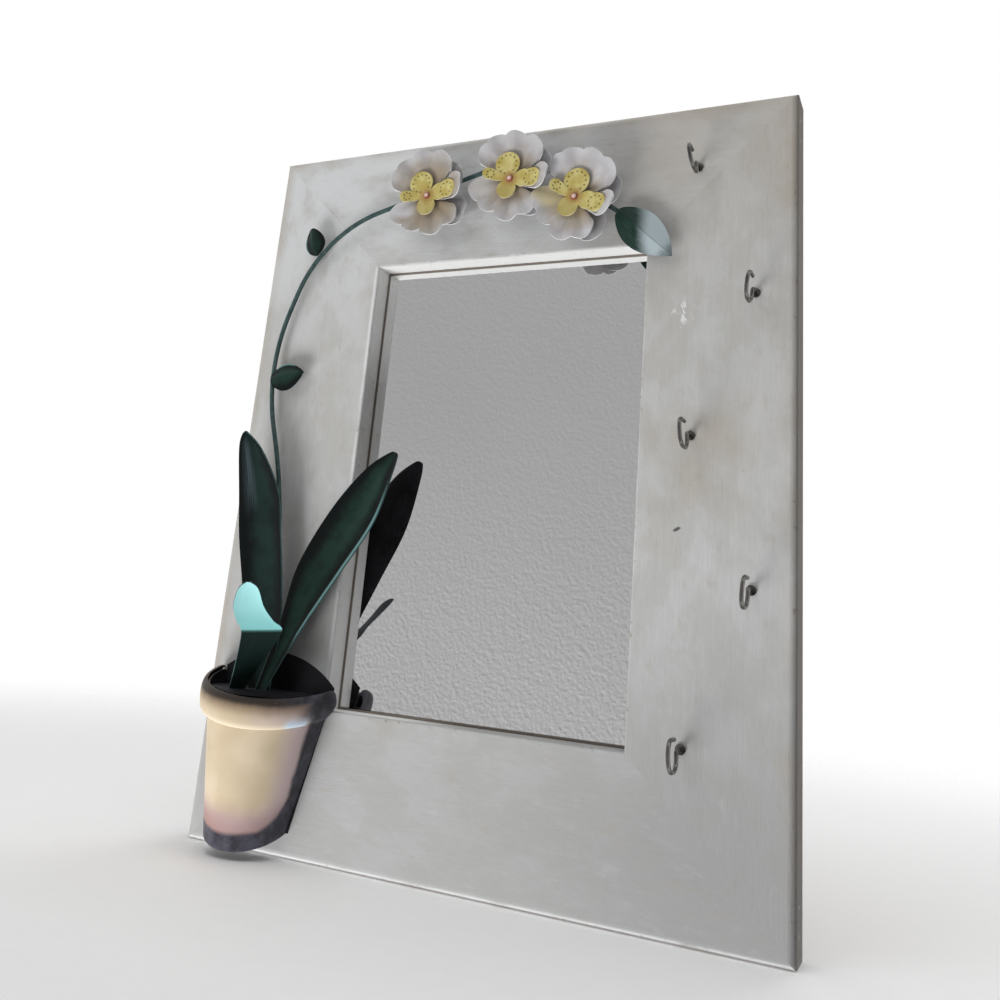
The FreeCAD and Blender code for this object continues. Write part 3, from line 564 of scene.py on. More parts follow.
POT_FOOT = (47.0, 16.0)
POT_LEAN = math.radians(4.5)
POT_PLATE = 1.0
POT_WALL = 68.0
POT_BAND = 16.0
POT_HEIGHT = POT_WALL + POT_BAND
POT_FOOT_HALF = 26.0
POT_WALL_HALF = 38.5
POT_TOP_HALF = POT_WALL_HALF + (POT_WALL_HALF - POT_FOOT_HALF) / POT_WALL * POT_BAND
POT_FOOT_DIP = math.tan(math.radians(24)) * POT_FOOT_HALF
POT_TOP_DIP = math.tan(math.radians(13.5)) * POT_TOP_HALF
POT_SHEET = 1.0
BAND_SHEET = 0.5
WALL_BELOW_RIM = 2.0
WALL_CORNER = 5.0
CORNER_SHARE = 0.045
RIGHT_CORNER_SHARE = 1.0
LEFT_CORNER_SHARE = 0.4
BAND_CORNER_SHARE = 0.55
BAND_SECTION = [
    (0.0, 0.35), (-0.6, 1.6), (0.1, 3.2), (2.0, 4.3), (5.0, 4.6),
    (9.0, 4.4), (12.5, 3.8), (15.0, 2.8), (16.3, 1.5), (16.2, 0.2),
]


def wall_colours(paint, u, v, tan, charcoal, wobble):
    """The wall: tan, pink towards its right end and its foot, with charcoal along both."""
    from_right = (1.0 - u * 3.5).most(0.0)
    from_foot = (1.0 - v * 2.6).most(0.0)
    inset = distance(from_right, from_foot) + wobble * 0.5
    colour = paint.mix(inset.rise(0.05, 0.5) * 0.9, tan, (0.62, 0.49, 0.50))
    colour = paint.mix((v + wobble).rise(0.44, 0.14) * 0.85, colour, (0.34, 0.22, 0.21))
    warm = (u + wobble).rise(0.4, 0.75) * (v + wobble).rise(0.36, 0.14)
    colour = paint.mix(warm * 0.6, colour, (0.33, 0.17, 0.13))
    colour = paint.mix((u + wobble).rise(0.78, 1.0) * 0.45, colour, (0.36, 0.30, 0.24))
    dark = (inset + wobble * 0.9).rise(0.57, 0.7)
    return colour, dark, charcoal


def band_colours(paint, u, v, tan, charcoal, wobble):
    """The band: pale below, dark along its top and at its right end, with one blue-white gleam."""
    colour = paint.mix((u + wobble).rise(0.45, 0.2), tan, (0.62, 0.50, 0.47))
    colour = paint.mix((v + wobble * 0.4).rise(0.46, 0.2), colour, (0.80, 0.69, 0.52))
    colour = paint.mix((v + wobble).rise(0.44, 0.64) * 0.75, colour, (0.20, 0.13, 0.08))
    grey = (u + wobble * 0.5).rise(0.74, 0.90) * v.rise(0.15, 0.4)
    colour = paint.mix(grey * 0.75, colour, (0.27, 0.25, 0.265))
    top = (v + wobble).rise(0.60, 0.74) * (u + wobble * 0.5).rise(0.93, 0.76)
    gleam = abs(u - 0.19 + wobble * 0.4).rise(0.075, 0.03) * (v + wobble * 0.5).rise(0.52, 0.34)
    colour = paint.mix(gleam * 0.9, colour, (0.62, 0.74, 0.88))
    dark = top.most((u + wobble * 0.6).rise(0.22, 0.13)) * (1.0 - gleam * 0.9)
    charcoal = paint.mix(u.rise(0.16, 0.3), charcoal, (0.026, 0.020, 0.017))
    return colour, dark, charcoal


def pot_paint(name, colours):
    """Airbrushed tan and charcoal. The map runs from the right end round to the left, and upwards."""
    paint = Painter(name)
    u, v = paint.sheet_place()
    mottle = paint.even_noise(120.0, 4.0, 0.6)
    cloud = paint.even_noise(34.0, 3.0, 0.5)
    speck = paint.even_noise(420.0, 3.0, 0.7)
    tan = paint.mix(cloud.rise(0.35, 0.7), (0.56, 0.455, 0.315), (0.66, 0.55, 0.40))
    charcoal = paint.mix(mottle.rise(0.38, 0.64), (0.016, 0.018, 0.027), (0.062, 0.066, 0.088))
    wobble = (cloud - 0.5) * 0.10 + (mottle - 0.5) * 0.06
    colour, dark, charcoal = colours(paint, u, v, tan, charcoal, wobble)
    colour = paint.mix(dark * 0.96, colour, charcoal)
    colour = paint.mix(speck.rise(0.71, 0.75) * (dark * 0.5 + 0.25), colour, (0.62, 0.60, 0.60))
    relief = paint.bump(mottle * 0.6 + speck * 0.3, 0.00025, 0.4)
    return paint.finish(colour, 0.45 + mottle * 0.15, normal=relief, specular=0.3)


def pot_spot(around, height, grow):
    """A place on the pot: around from its right end to its left, up its wall, and grown outwards."""
    share = height / POT_HEIGHT
    half = POT_FOOT_HALF + (POT_TOP_HALF - POT_FOOT_HALF) * share + grow
    dip = POT_FOOT_DIP * (1 - share) + POT_TOP_DIP * share
    swing = math.pi * around
    side = half * math.cos(swing)
    out = half * math.sin(swing)
    rise = height - dip * math.sin(swing) * (1 + grow / POT_TOP_HALF)
    turned = side * math.cos(POT_LEAN) + rise * math.sin(POT_LEAN)
    level = rise * math.cos(POT_LEAN) - side * math.sin(POT_LEAN)
    return spot(POT_FOOT[0] + turned, POT_FOOT[1] + level, POT_PLATE + out)


def corner_rounding(around):
    """How far the pot's sheets are rounded off near their two ends."""
    end = max(0.0, 1 - min(around, 1 - around) / CORNER_SHARE)
    amount = RIGHT_CORNER_SHARE if around < 0.5 else LEFT_CORNER_SHARE
    return (1 - math.sqrt(1 - end * end)) * amount


def pot_pieces():
    """The tapered wall and the rounded rim band."""
    rim_dark = flat_tin("pot_rim_dark", (0.05, 0.047, 0.05), (0.10, 0.085, 0.075))
    inside = black_tin("pot_inside")
    wall_materials = [pot_paint("pot_tan", wall_colours), rim_dark, inside]
    band_materials = [pot_paint("pot_band_tan", band_colours), rim_dark, inside]

    def wall(u, v):
        around = 1 - u
        height = v * (POT_HEIGHT - WALL_BELOW_RIM - WALL_CORNER * corner_rounding(around))
        return pot_spot(around, height, 0.0), (around, height / POT_WALL)

    def band(u, v):
        around = 1 - u
        along = through([(low, grow, 0.0) for low, grow in BAND_SECTION], v)
        up = along.x + (POT_BAND / 2 - along.x) * BAND_CORNER_SHARE * corner_rounding(around)
        return pot_spot(around, POT_WALL + up, along.y), (around, v)

    sheet_piece("pot_wall", wall, 72, 40, POT_SHEET, wall_materials, ["pot_shell"])
    sheet_piece("pot_band", band, 120, 40, BAND_SHEET, band_materials, ["pot_rim_band"])


# Leaves: the two edges of each big leaf, as side, height and out

LEAF_SHEET = 0.9
LEFT_LEAF = (
    [(42, 92, 14), (28, 154.2, 17), (21.4, 181.6, 18), (17.2, 207.6, 19), (12, 239, 20), (13.6, 249, 20)],
    [(57, 92, 14), (59.4, 135, 15), (51.2, 188.4, 17), (46, 211.7, 18), (30.4, 236.7, 20),
     (14.6, 249.6, 20)],
)
RIGHT_LEAF = (
    [(51, 92, 19), (59, 128, 15.5), (62.7, 160.2, 12), (70.3, 182.7, 9), (85, 209.3, 6), (102, 229.8, 4),
     (117.5, 240.0, 3)],
    [(57, 92, 19), (68, 116, 16), (79, 136.2, 14), (94.8, 164.4, 10), (111.7, 195.8, 6), (119.8, 227.3, 4),
     (121.2, 238.4, 3)],
)
FRONT_LEAF = (
    [(42.6, 92, 33), (48.5, 108, 38), (54.7, 124.5, 45), (57.0, 131, 54), (59.6, 138.9, 62),
     (65, 148.5, 66.5), (71, 152.6, 67.5)],
    [(46.6, 92, 24), (58.6, 109, 26), (72.4, 126.6, 30), (71.5, 132.7, 39), (72.0, 139.8, 50),
     (74.5, 149.3, 61), (73.4, 152.4, 67)],
)
FRONT_LEAF_BEND = 0.345
SMALL_LEAF_SHEET = 0.8
SMALL_LEAF_OUT = 8.6
SMALL_LEAF_RIB = 1.6
SMALL_LEAF_DROOP = 0.22

LEAF_BLACK = (0.004, 0.006, 0.006)


def leaf_tin(name, body, sheen, sheen_side, bright_edge=0.0):
    """Green-black painted tin, black along its edges, with a painted sheen: a long pale streak on one side.
    """
    paint = Painter(name)
    u, v = paint.sheet_place()
    grain = paint.noise(paint.point(u * 14.0, v * 1.6, 0.0), 3.0, 4.0, 0.6)
    mottle = paint.even_noise(90.0, 4.0, 0.65)
    speck = paint.even_noise(420.0, 4.0, 0.65)
    middle = abs(u - 0.5) * 2.0 + (mottle - 0.5) * 0.5
    colour = paint.mix(middle.rise(0.2, 0.8), body, LEAF_BLACK)
    colour = paint.mix(mottle.rise(0.4, 0.7) * 0.4, colour, LEAF_BLACK)
    colour = paint.mix(v.rise(0.8, 0.95) * 0.6, colour, LEAF_BLACK)
    # Painted sheen: a long pale streak down one side.
    sheen_streak = abs(u - sheen_side).rise(0.2, 0.02) * abs(v - 0.72).rise(0.26, 0.05)
    colour = paint.mix(sheen_streak * grain.rise(0.2, 0.7) * 0.8, colour, sheen)
    colour = paint.mix(speck.rise(0.7, 0.76) * 0.35, colour, sheen)
    strip = u.rise(0.92, 0.95) * v.rise(0.16, 0.26) * v.rise(0.82, 0.66)
    colour = paint.mix(strip * bright_edge, colour, (0.15, 0.28, 0.28))
    relief = paint.bump(grain * 0.5 + speck * 0.25 + mottle * 0.4, 0.0003, 0.45)
    return paint.finish(colour, 0.4 + speck * 0.15, normal=relief, specular=0.18)


def front_leaf_paint():
    """Dark green below the bend, pale mint above it, partly the paint's own and partly painted light on the
    face turned to the lamp, with painted shade along the bend.
    """
    paint = Painter("leaf_mint")
    u, v = paint.sheet_place()
    grain = paint.noise(paint.point(u * 12.0, v * 2.0, 0.0), 3.0, 4.0, 0.6)
    speck = paint.even_noise(380.0, 3.0, 0.6)
    dark = paint.mix(grain.rise(0.3, 0.7), (0.007, 0.016, 0.014), (0.010, 0.022, 0.018))
    # Pale mint above the bend: partly the paint's own colour, partly painted light.
    lit_mint = paint.mix(v.rise(0.35, 0.8), (0.25, 0.60, 0.60), (0.40, 0.78, 0.79))
    lit_mint = paint.mix(grain.rise(0.4, 0.75) * 0.25, lit_mint, (0.30, 0.60, 0.57))
    colour = paint.mix(v.rise(FRONT_LEAF_BEND - 0.015, FRONT_LEAF_BEND + 0.015), dark, lit_mint)
    # Painted shade along the bend.
    crease_shade = abs(v - FRONT_LEAF_BEND).rise(0.02, 0.0)
    colour = paint.mix(crease_shade * 0.7, colour, (0.02, 0.05, 0.045))
    relief = paint.bump(grain * 0.2 + speck * 0.5, 0.0003, 0.25)
    return paint.finish(colour, 0.4, normal=relief, specular=0.1)


def end_leaf_paint():
    """Dark green near the stem, with a pale glare across its outer half that fades at the tip."""
    paint = Painter("leaf_end")
    u, v = paint.sheet_place()
    grain = paint.noise(paint.point(u * 10.0, v * 2.0, 0.0), 3.0, 4.0, 0.6)
    speck = paint.even_noise(420.0, 3.0, 0.6)
    dark = paint.mix(grain.rise(0.3, 0.7), (0.008, 0.024, 0.018), (0.024, 0.052, 0.042))
    glare = (v + (grain - 0.5) * 0.08 + (u - 0.5) * 0.45).rise(0.34, 0.62)
    tip = (v + (grain - 0.5) * 0.3).rise(0.8, 0.93)
    colour = paint.mix(glare * (1.0 - tip * 0.6) * 0.9, dark, (0.45, 0.53, 0.56))
    rib = abs(u - 0.5).rise(0.03, 0.0)
    colour = paint.mix(rib * 0.4, colour, (0.02, 0.04, 0.035))
    relief = paint.bump(grain + speck * 0.4, 0.0003, 0.4)
    return paint.finish(colour, 0.38, normal=relief, specular=0.25)


def leaf_piece(name, edges, cup, roll, materials, node):
    """A long leaf between its two edges; cup pushes its middle back and roll lifts its edges."""
    left, right = edges

    def surface(u, v):
        point = through(left, v).lerp(through(right, v), u)
        bow = 1 - (2 * u - 1) ** 2
        fade = math.sin(math.pi * min(1.0, 0.12 + 0.88 * v)) ** 0.6 if v < 1 else 0.0
        point.z -= cup * bow * fade
        point.z += roll * smooth((abs(2 * u - 1) - 0.72) / 0.28) * fade
        return spot(point.x, point.y, point.z), (u, v)

    sheet_piece(name, surface, 14, 48, LEAF_SHEET, materials, [node])


def small_leaf(name, base, length, width, turn, materials, node):
    """A pointed oval with a raised rib, from its base on the stem."""
    swing = math.radians(turn)

    def surface(u, v):
        half = width / 2 * math.sin(math.pi * v ** 0.85) ** 0.8 if 0 < v < 1 else 0.0
        off = (2 * u - 1) * half
        side = base[0] + v * length * math.cos(swing) - off * math.sin(swing)
        height = base[1] + v * length * math.sin(swing) + off * math.cos(swing)
        fold = 1 - abs(2 * u - 1)
        rib = SMALL_LEAF_RIB * math.sin(math.pi * v) * (0.3 + 0.7 * fold)
        out = SMALL_LEAF_OUT - (1 - fold) * half * SMALL_LEAF_DROOP + rib
        return spot(side, height, out), (u, v)

    sheet_piece(name, surface, 16, 28, SMALL_LEAF_SHEET, materials, [node])


def leaves():
    """Three big leaves in the pot and three small ones on the stem."""
    edge = flat_tin("leaf_edge_teal", (0.045, 0.105, 0.105), (0.022, 0.055, 0.052))
    rear = black_tin("leaf_rear")
    dark = leaf_tin("leaf_dark", (0.011, 0.026, 0.022), (0.07, 0.10, 0.115), 0.22)
    green = leaf_tin("leaf_green", (0.012, 0.034, 0.025), (0.024, 0.046, 0.04), 0.6, bright_edge=0.9)
    leaf_piece("leaf_left", LEFT_LEAF, 4.0, 1.0, [dark, edge, rear], "leaf_left_tall")
    leaf_piece("leaf_right", RIGHT_LEAF, 2.5, 0.6, [green, edge, rear], "leaf_right_tall")
    leaf_piece("leaf_front", FRONT_LEAF, 1.2, 0.3, [front_leaf_paint(), edge, rear], "leaf_front_bent")
    small_leaf("small_leaf_upper", (43.6, 374.4), 22, 15, 108, [green, edge], "stem_leaf_upper")
    small_leaf("small_leaf_lower", (19.5, 286.2), 27, 18, 12, [green, edge], "stem_leaf_lower")
    small_leaf("end_leaf", (257.0, 386.3), 47, 23.5, -43, [end_leaf_paint(), edge], "stem_end_leaf")


# Stem: a wire that follows the solid stem's line

STEM_CORNERS = [(47.0, 92.1), (42.0, 206.0), (12.5, 296.0), (44.5, 391.0), (195.8, 432.0), (256.0, 387.0)]
STEM_BEND_SHARE = 0.45
STEM_BEND_STEPS = 14
STEM_DEPTH = 6.0
STEM_RADIUS = 1.5
STEM_STEP = 2.5
STEM_SIDES = 20


def stem_points():
    """The stem's line with each corner rounded by an arc that starts at a share of its shorter side."""
    corners = [Vector(corner) for corner in STEM_CORNERS]
    line = [corners[0]]
    for before, corner, after in zip(corners, corners[1:], corners[2:]):
        incoming = (corner - before).normalized()
        outgoing = (after - corner).normalized()
        lead = STEM_BEND_SHARE * min((corner - before).length, (after - corner).length)
        turn = incoming.angle_signed(outgoing)
        radius = lead / math.tan(abs(turn) / 2)
        start = corner - incoming * lead
        centre = start + Vector((-incoming.y, incoming.x)) * radius * (-1 if turn > 0 else 1)
        for step in range(STEM_BEND_STEPS + 1):
            arm = (start - centre).to_3d()
            arm.rotate(Matrix.Rotation(-turn * step / STEM_BEND_STEPS, 3, "Z"))
            line.append(centre + arm.to_2d())
    line.append(corners[-1])
    return [spot(point.x, point.y, STEM_DEPTH) for point in line]


def wire_tree():
    """Nodes that sweep a round wire along a line of edges."""
    tree = bpy.data.node_groups.new("wire_along_line", "GeometryNodeTree")
    kinds = {"Line": "Geometry", "Wire radius": "Float", "Step": "Float", "Sides": "Int", "Paint": "Material"}
    for name, kind in kinds.items():
        tree.interface.new_socket(name, in_out="INPUT", socket_type="NodeSocket" + kind)
    tree.interface.new_socket("Wire", in_out="OUTPUT", socket_type="NodeSocketGeometry")
    given = tree.nodes.new("NodeGroupInput").outputs
    end = tree.nodes.new("NodeGroupOutput").inputs

    def node(kind, links, **settings):
        made = tree.nodes.new("GeometryNode" + kind)
        for key, value in settings.items():
            setattr(made, key, value)
        for socket, source in links.items():
            tree.links.new(source, made.inputs[socket])
        return made.outputs[0]

    line = node("MeshToCurve", {"Mesh": given["Line"]})
    even = node("ResampleCurve", {"Curve": line, "Length": given["Step"]}, mode="LENGTH")
    ring = node("CurvePrimitiveCircle", {"Radius": given["Wire radius"], "Resolution": given["Sides"]})
    tube = node("CurveToMesh", {"Curve": even, "Profile Curve": ring})
    tube.node.inputs["Fill Caps"].default_value = True
    real = node("RealizeInstances", {"Geometry": tube})
    painted = node("SetMaterial", {"Geometry": real, "Material": given["Paint"]})
    tree.links.new(painted, end["Wire"])
    return tree


def stem():
    """The flower stem."""
    teal = flat_tin("stem_teal", (0.030, 0.062, 0.060), (0.075, 0.12, 0.115))
    points = [tuple(point) for point in stem_points()]
    edges = [(index, index + 1) for index in range(len(points) - 1)]
    line = bpy.data.meshes.new("stem_line")
    line.from_pydata(points, edges, [])
    holder = bpy.data.objects.new("stem_line", line)
    bpy.context.scene.collection.objects.link(holder)
    tree = wire_tree()
    sweep = holder.modifiers.new("sweep", "NODES")
    sweep.node_group = tree
    sizes = {"Wire radius": STEM_RADIUS * MM, "Step": STEM_STEP * MM, "Sides": STEM_SIDES, "Paint": teal}
    for item in tree.interface.items_tree:
        if item.name in sizes:
            sweep[item.identifier] = sizes[item.name]
    ready = holder.evaluated_get(bpy.context.evaluated_depsgraph_get())
    mesh = bpy.data.meshes.new_from_object(ready)
    holder.modifiers.remove(sweep)
    bpy.data.objects.remove(holder)
    mesh.name = "stem_wire"
    mesh.shade_smooth()
    mesh.set_sharp_from_angle(angle=SHARP_ANGLE)
    link_piece("stem_wire", mesh, ["flower_stem"])


# Flowers: where each stands and how it is turned; a lobe is its angle, offset, radius and curl

FLOWERS = {
    "first": ((130.7, 405.4), 0.0),
    "second": ((189.0, 410.5), -16.0),
    "third": ((232.9, 393.3), -33.0),
}
BACK_PETALS = [
    (51, 18.5, 10.5, 3.0),
    (-29, 18.5, 10.5, 2.0),
    (131, 17.5, 10.0, 3.0),
    (229, 16.5, 9.0, 2.0),
]
FRONT_PETALS = [
    (72, 21.0, 10.0, 6.0),
    (100, 21.5, 10.0, 6.0),
    (127, 22.5, 9.5, 6.0),
    (147, 23.0, 8.0, 6.0),
    (207, 20.5, 8.5, 3.5),
    (236, 17.5, 8.8, 3.5),
    (284, 18.5, 9.5, 3.5),
    (316, 19.0, 8.5, 3.5),
    (13, 20.0, 8.5, 12.0),
]
LIP_LOBES = [
    (118, 10.2, 8.2, 2.0),
    (177, 9.5, 3.6, 5.0),
    (178, 15.5, 3.8, 5.0),
    (270, 7.0, 6.4, 2.0),
    (12, 9.0, 5.8, 6.0),
    (11, 15.5, 6.2, 6.0),
]
BACK_PETALS_OUT = 9.9
FRONT_PETALS_OUT = 13.4
LIP_OUT = 17.4
PETAL_HUB = 5.0
LIP_HUB = 3.6
HUB_HOLE_SHARE = 0.35
PETAL_SHEET = 0.8
CURL_REACH = 28.0
WAVES_ROUND = 11
FLAT_MAP = 60.0

# Rings of dots on the lip: the ring's angle and offset from the pin, its radius and how many dots
LIP_DOTS = [
    (118, 10.2, 6.1, 12),
    (178, 14.0, 2.4, 7),
    (11, 14.8, 4.3, 9),
]

# The pin's radius and out, from its tip to its foot; its last three points are the shank
PIN_PROFILE = [
    (0.25, 19.6), (1.0, 19.5), (1.7, 19.2), (2.2, 18.7), (2.4, 18.2), (2.35, 17.75), (1.0, 17.7), (1.0, 0.2),
]
PIN_SHANK_POINTS = 3
PIN_MAP_RADIUS = 2.6
PIN_SIDES = 40

# Petal colours: light, dark, the flush round the middle and how far it reaches, and one lobe's tint, which on
# the first flower is a painted highlight
PETAL_TONES = {
    # The back petals' darker tones are partly painted shade.
    "back": ((0.40, 0.395, 0.41), (0.31, 0.30, 0.305), (0.27, 0.24, 0.22), 0.4, (0.36, 0.35, 0.35)),
    # The first flower's darker tones are partly painted shade.
    "first": ((0.44, 0.42, 0.41), (0.35, 0.325, 0.30), (0.34, 0.26, 0.165), 0.56, (0.66, 0.66, 0.70)),
    "second": ((0.52, 0.51, 0.52), (0.42, 0.40, 0.40), (0.33, 0.26, 0.17), 0.44, (0.56, 0.54, 0.52)),
    "third": ((0.56, 0.55, 0.57), (0.45, 0.435, 0.44), (0.38, 0.29, 0.16), 0.42, (0.55, 0.47, 0.26)),
}


def petal_paint(which):
    """Lavender-grey petals, brown towards the middle, pale at the rim, tinted on one lobe; on the first
    flower that tint is a painted highlight.
    """
    light, dark, flush, flush_reach, tint = PETAL_TONES[which]
    paint = Painter("petal_" + which)
    u, v = paint.sheet_place()
    off_u = u - 0.5
    off_v = v - 0.5
    far = distance(off_u, off_v)
    cloud = paint.even_noise(70.0, 3.0, 0.55)
    fine = paint.even_noise(300.0, 3.0, 0.6)
    rays = paint.noise(paint.point(paint.angle(off_v, off_u) * 7.0, far * 3.0, 0.0), 1.4, 2.0, 0.5)
    colour = paint.mix(cloud.rise(0.35, 0.7), dark, light)
    colour = paint.mix(far.rise(0.38, 0.5) * 0.6, colour, (0.56, 0.56, 0.58))
    near = (far + (cloud - 0.5) * 0.2 + (rays - 0.5) * 0.2).rise(flush_reach, 0.12)
    colour = paint.mix(near * 0.85, colour, flush)
    # One lobe tinted; on the first flower the tint is a painted highlight.
    lobe_tint_and_highlight = (off_u + (cloud - 0.5) * 0.1).rise(-0.10, -0.28) * abs(off_v + 0.1).rise(0.16, 0.06)
    colour = paint.mix(lobe_tint_and_highlight * 0.75, colour, tint)
    relief = paint.bump(fine * 0.6 + rays * 0.8, 0.0003, 0.4)
    return paint.finish(colour, 0.5 + fine * 0.15, normal=relief, specular=0.25)


def dot_ring(paint, side, rise, angle, offset, ring, count):
    """A ring of small dots round the middle of one lobe, in millimetres from the pin."""
    from_x = side - offset * math.cos(math.radians(angle))
    from_z = rise - offset * math.sin(math.radians(angle))
    bead = paint.angle(from_z, from_x) * (count / (2 * math.pi))
    along = (bead - bead.maths("ROUND", bead)) * (2 * math.pi * ring / count)
    off = distance(from_x, from_z) - ring
    return distance(along, off).rise(0.75, 0.45)


def lip_paint():
    """Yellow lip with a row of small dark dots inside the edge of its lobes."""
    paint = Painter("lip_yellow")
    u, v = paint.sheet_place()
    side = (u - 0.5) * FLAT_MAP
    rise = (v - 0.5) * FLAT_MAP
    far = distance(side, rise)
    cloud = paint.even_noise(150.0, 3.0, 0.55)
    colour = paint.mix(cloud.rise(0.35, 0.7), (0.46, 0.37, 0.10), (0.62, 0.55, 0.23))
    colour = paint.mix(far.rise(7.5, 3.0) * 0.75, colour, (0.36, 0.20, 0.06))
    colour = paint.mix(rise.rise(-2.0, -7.0) * 0.55, colour, (0.36, 0.29, 0.10))
    first, *others = [dot_ring(paint, side, rise, *ring) for ring in LIP_DOTS]
    dots = first
    for other in others:
        dots = dots.most(other)
    dots = dots * far.rise(4.0, 5.0)
    colour = paint.mix(dots * 0.8, colour, (0.09, 0.07, 0.02))
    return paint.finish(colour, 0.45, normal=paint.bump(cloud - dots, 0.0002, 0.3), specular=0.3)


def pin_paint():
    """Pink pin head with a dark red ring round it. The map runs from its middle to its rim."""
    paint = Painter("pin_pink")
    [v] = paint.sheet_place("Y")
    cloud = paint.even_noise(500.0, 3.0, 0.6)
    colour = paint.mix(cloud, (0.62, 0.40, 0.36), (0.78, 0.60, 0.55))
    colour = paint.mix(v.rise(0.42, 0.62), colour, (0.28, 0.09, 0.05))
    return paint.finish(colour, 0.4, normal=paint.bump(cloud, 0.0001, 0.3))


def petal_reach(turn, lobes):
    """How far a ring of round lobes reaches at an angle, and how far it curls out there."""
    best, curl = 0.0, 0.0
    for angle, offset, radius, lift in lobes:
        off = math.radians(turn - angle)
        beside = offset * math.sin(off)
        if math.cos(off) > 0 and abs(beside) < radius:
            here = offset * math.cos(off) + math.sqrt(radius ** 2 - beside ** 2)
            if here > best:
                best, curl = here, lift
    return best, curl


def flower_sheet(name, stand, lobes, hub, wave, around, rings, materials, node):
    """A lobed sheet about a pin, curled at its ends and a little wavy. Its map is flat."""
    (side, height), turn, out_from_frame = stand

    def surface(u, v):
        angle = 360 * u
        reach, curl = petal_reach(angle, lobes)
        inner = hub * HUB_HOLE_SHARE
        radius = inner + (max(reach, hub + 1.0) - inner) * v
        share = radius / CURL_REACH
        ripple = wave * share ** 2 * math.sin(math.radians(angle * WAVES_ROUND))
        out = out_from_frame + curl * share ** 2.1 + ripple
        swing = math.radians(angle)
        place = (0.5 + radius * math.cos(swing) / FLAT_MAP, 0.5 + radius * math.sin(swing) / FLAT_MAP)
        swing += math.radians(turn)
        return spot(side + radius * math.cos(swing), height + radius * math.sin(swing), out), place

    sheet_piece(name, surface, around, rings, PETAL_SHEET, materials, [node], round_way=True)


def pin_piece(name, centre, material, node):
    """A round-headed pin along the line out of the frame."""
    side, height = centre
    head_points = len(PIN_PROFILE) - PIN_SHANK_POINTS
    points = []
    places = []
    for index, (radius, out) in enumerate(PIN_PROFILE):
        rim_share = min(1.0, radius / PIN_MAP_RADIUS) if index < head_points else 1.0
        for step in range(PIN_SIDES):
            swing = 2 * math.pi * step / PIN_SIDES
            points.append(spot(side + radius * math.cos(swing), height + radius * math.sin(swing), out))
            places.append((step / PIN_SIDES, rim_share))
    faces = []
    for index in range(len(PIN_PROFILE) - 1):
        low = index * PIN_SIDES
        high = low + PIN_SIDES
        for step in range(PIN_SIDES):
            after = (step + 1) % PIN_SIDES
            faces.append((low + step, low + after, high + after, high + step))
    faces.append(tuple(range(PIN_SIDES)))
    faces.append(tuple(range(len(points) - 1, len(points) - PIN_SIDES - 1, -1)))
    make_piece(name, points, places, faces, [0] * len(faces), [material], [node])


def flowers():
    """Each flower: back petals, front petals, a lip and a pin."""
    cut_edge = flat_tin("petal_edge_white", (0.80, 0.80, 0.81), (0.66, 0.66, 0.67), 0.45)
    lip_edge = flat_tin("lip_edge_pale", (0.80, 0.76, 0.54), (0.62, 0.56, 0.32), 0.45)
    back = [petal_paint("back"), cut_edge]
    yellow = [lip_paint(), lip_edge]
    pink = pin_paint()
    for which, (centre, turn) in FLOWERS.items():
        front = [petal_paint(which), cut_edge]
        node = "flower_%s_" % which
        flower_sheet(which + "_back_petals", (centre, turn, BACK_PETALS_OUT), BACK_PETALS, PETAL_HUB, 0.5,
                     216, 20, back, node + "back_petals")
        flower_sheet(which + "_front_petals", (centre, turn, FRONT_PETALS_OUT), FRONT_PETALS, PETAL_HUB, 0.9,
                     216, 20, front, node + "front_petals")
        flower_sheet(which + "_lip", (centre, turn, LIP_OUT), LIP_LOBES, LIP_HUB, 0.3,
                     180, 14, yellow, node + "lip")
        pin_piece(which + "_pin", centre, pink, node + "pin")


# Stage, light and camera

FLOOR_HALF = 3.0
FLOOR_GAP = 0.0004
CARD_HALF = 4.0
CARD_PLACE = Vector((-0.6, -1.7, 0.3))
SURROUND_LIGHT = 0.22
SURROUND_SEEN = 1.0

# Each lamp's place, what it looks at, its size and its power
LAMPS = {
    "key": ((-0.45, -0.75, -1.05), (0.0, 0.0, 0.0), 0.7, 17.5),
    "fill": ((-0.9, -1.5, 0.6), (0.0, 0.0, 0.0), 1.4, 6.5),
    "top": ((0.0, -0.6, 2.6), (0.0, -0.3, 0.0), 3.0, 55.0),
    "back_fill": ((0.3, 1.6, 0.9), (0.0, 0.0, 0.0), 1.2, 12.0),
}

# The camera solved from the frame's edges: its place, its three directions and its off-centre picture
CAMERA_PLACE = Vector((0.2537893, -0.5577803, -0.0858150))
CAMERA_RIGHT = Vector((0.9041122, 0.418397, 0.0867466))
CAMERA_UP = Vector((0.0356504, -0.2761673, 0.9604482))
CAMERA_BACK = Vector((0.4258053, -0.8652604, -0.2646022))
CAMERA_SENSOR = 36.0
CAMERA_LENS = 35.686
CAMERA_SHIFT = (0.01727, -0.14784)


def add_card(name, middle, half_x, half_y, material):
    """A flat stage rectangle."""
    mesh = bpy.data.meshes.new(name)
    low = middle - half_y
    high = middle + half_y
    corners = [low - half_x, low + half_x, high + half_x, high - half_x]
    mesh.from_pydata([tuple(corner) for corner in corners], [], [(0, 1, 2, 3)])
    mesh.materials.append(material)
    card = bpy.data.objects.new(name, mesh)
    bpy.context.scene.collection.objects.link(card)
    return card


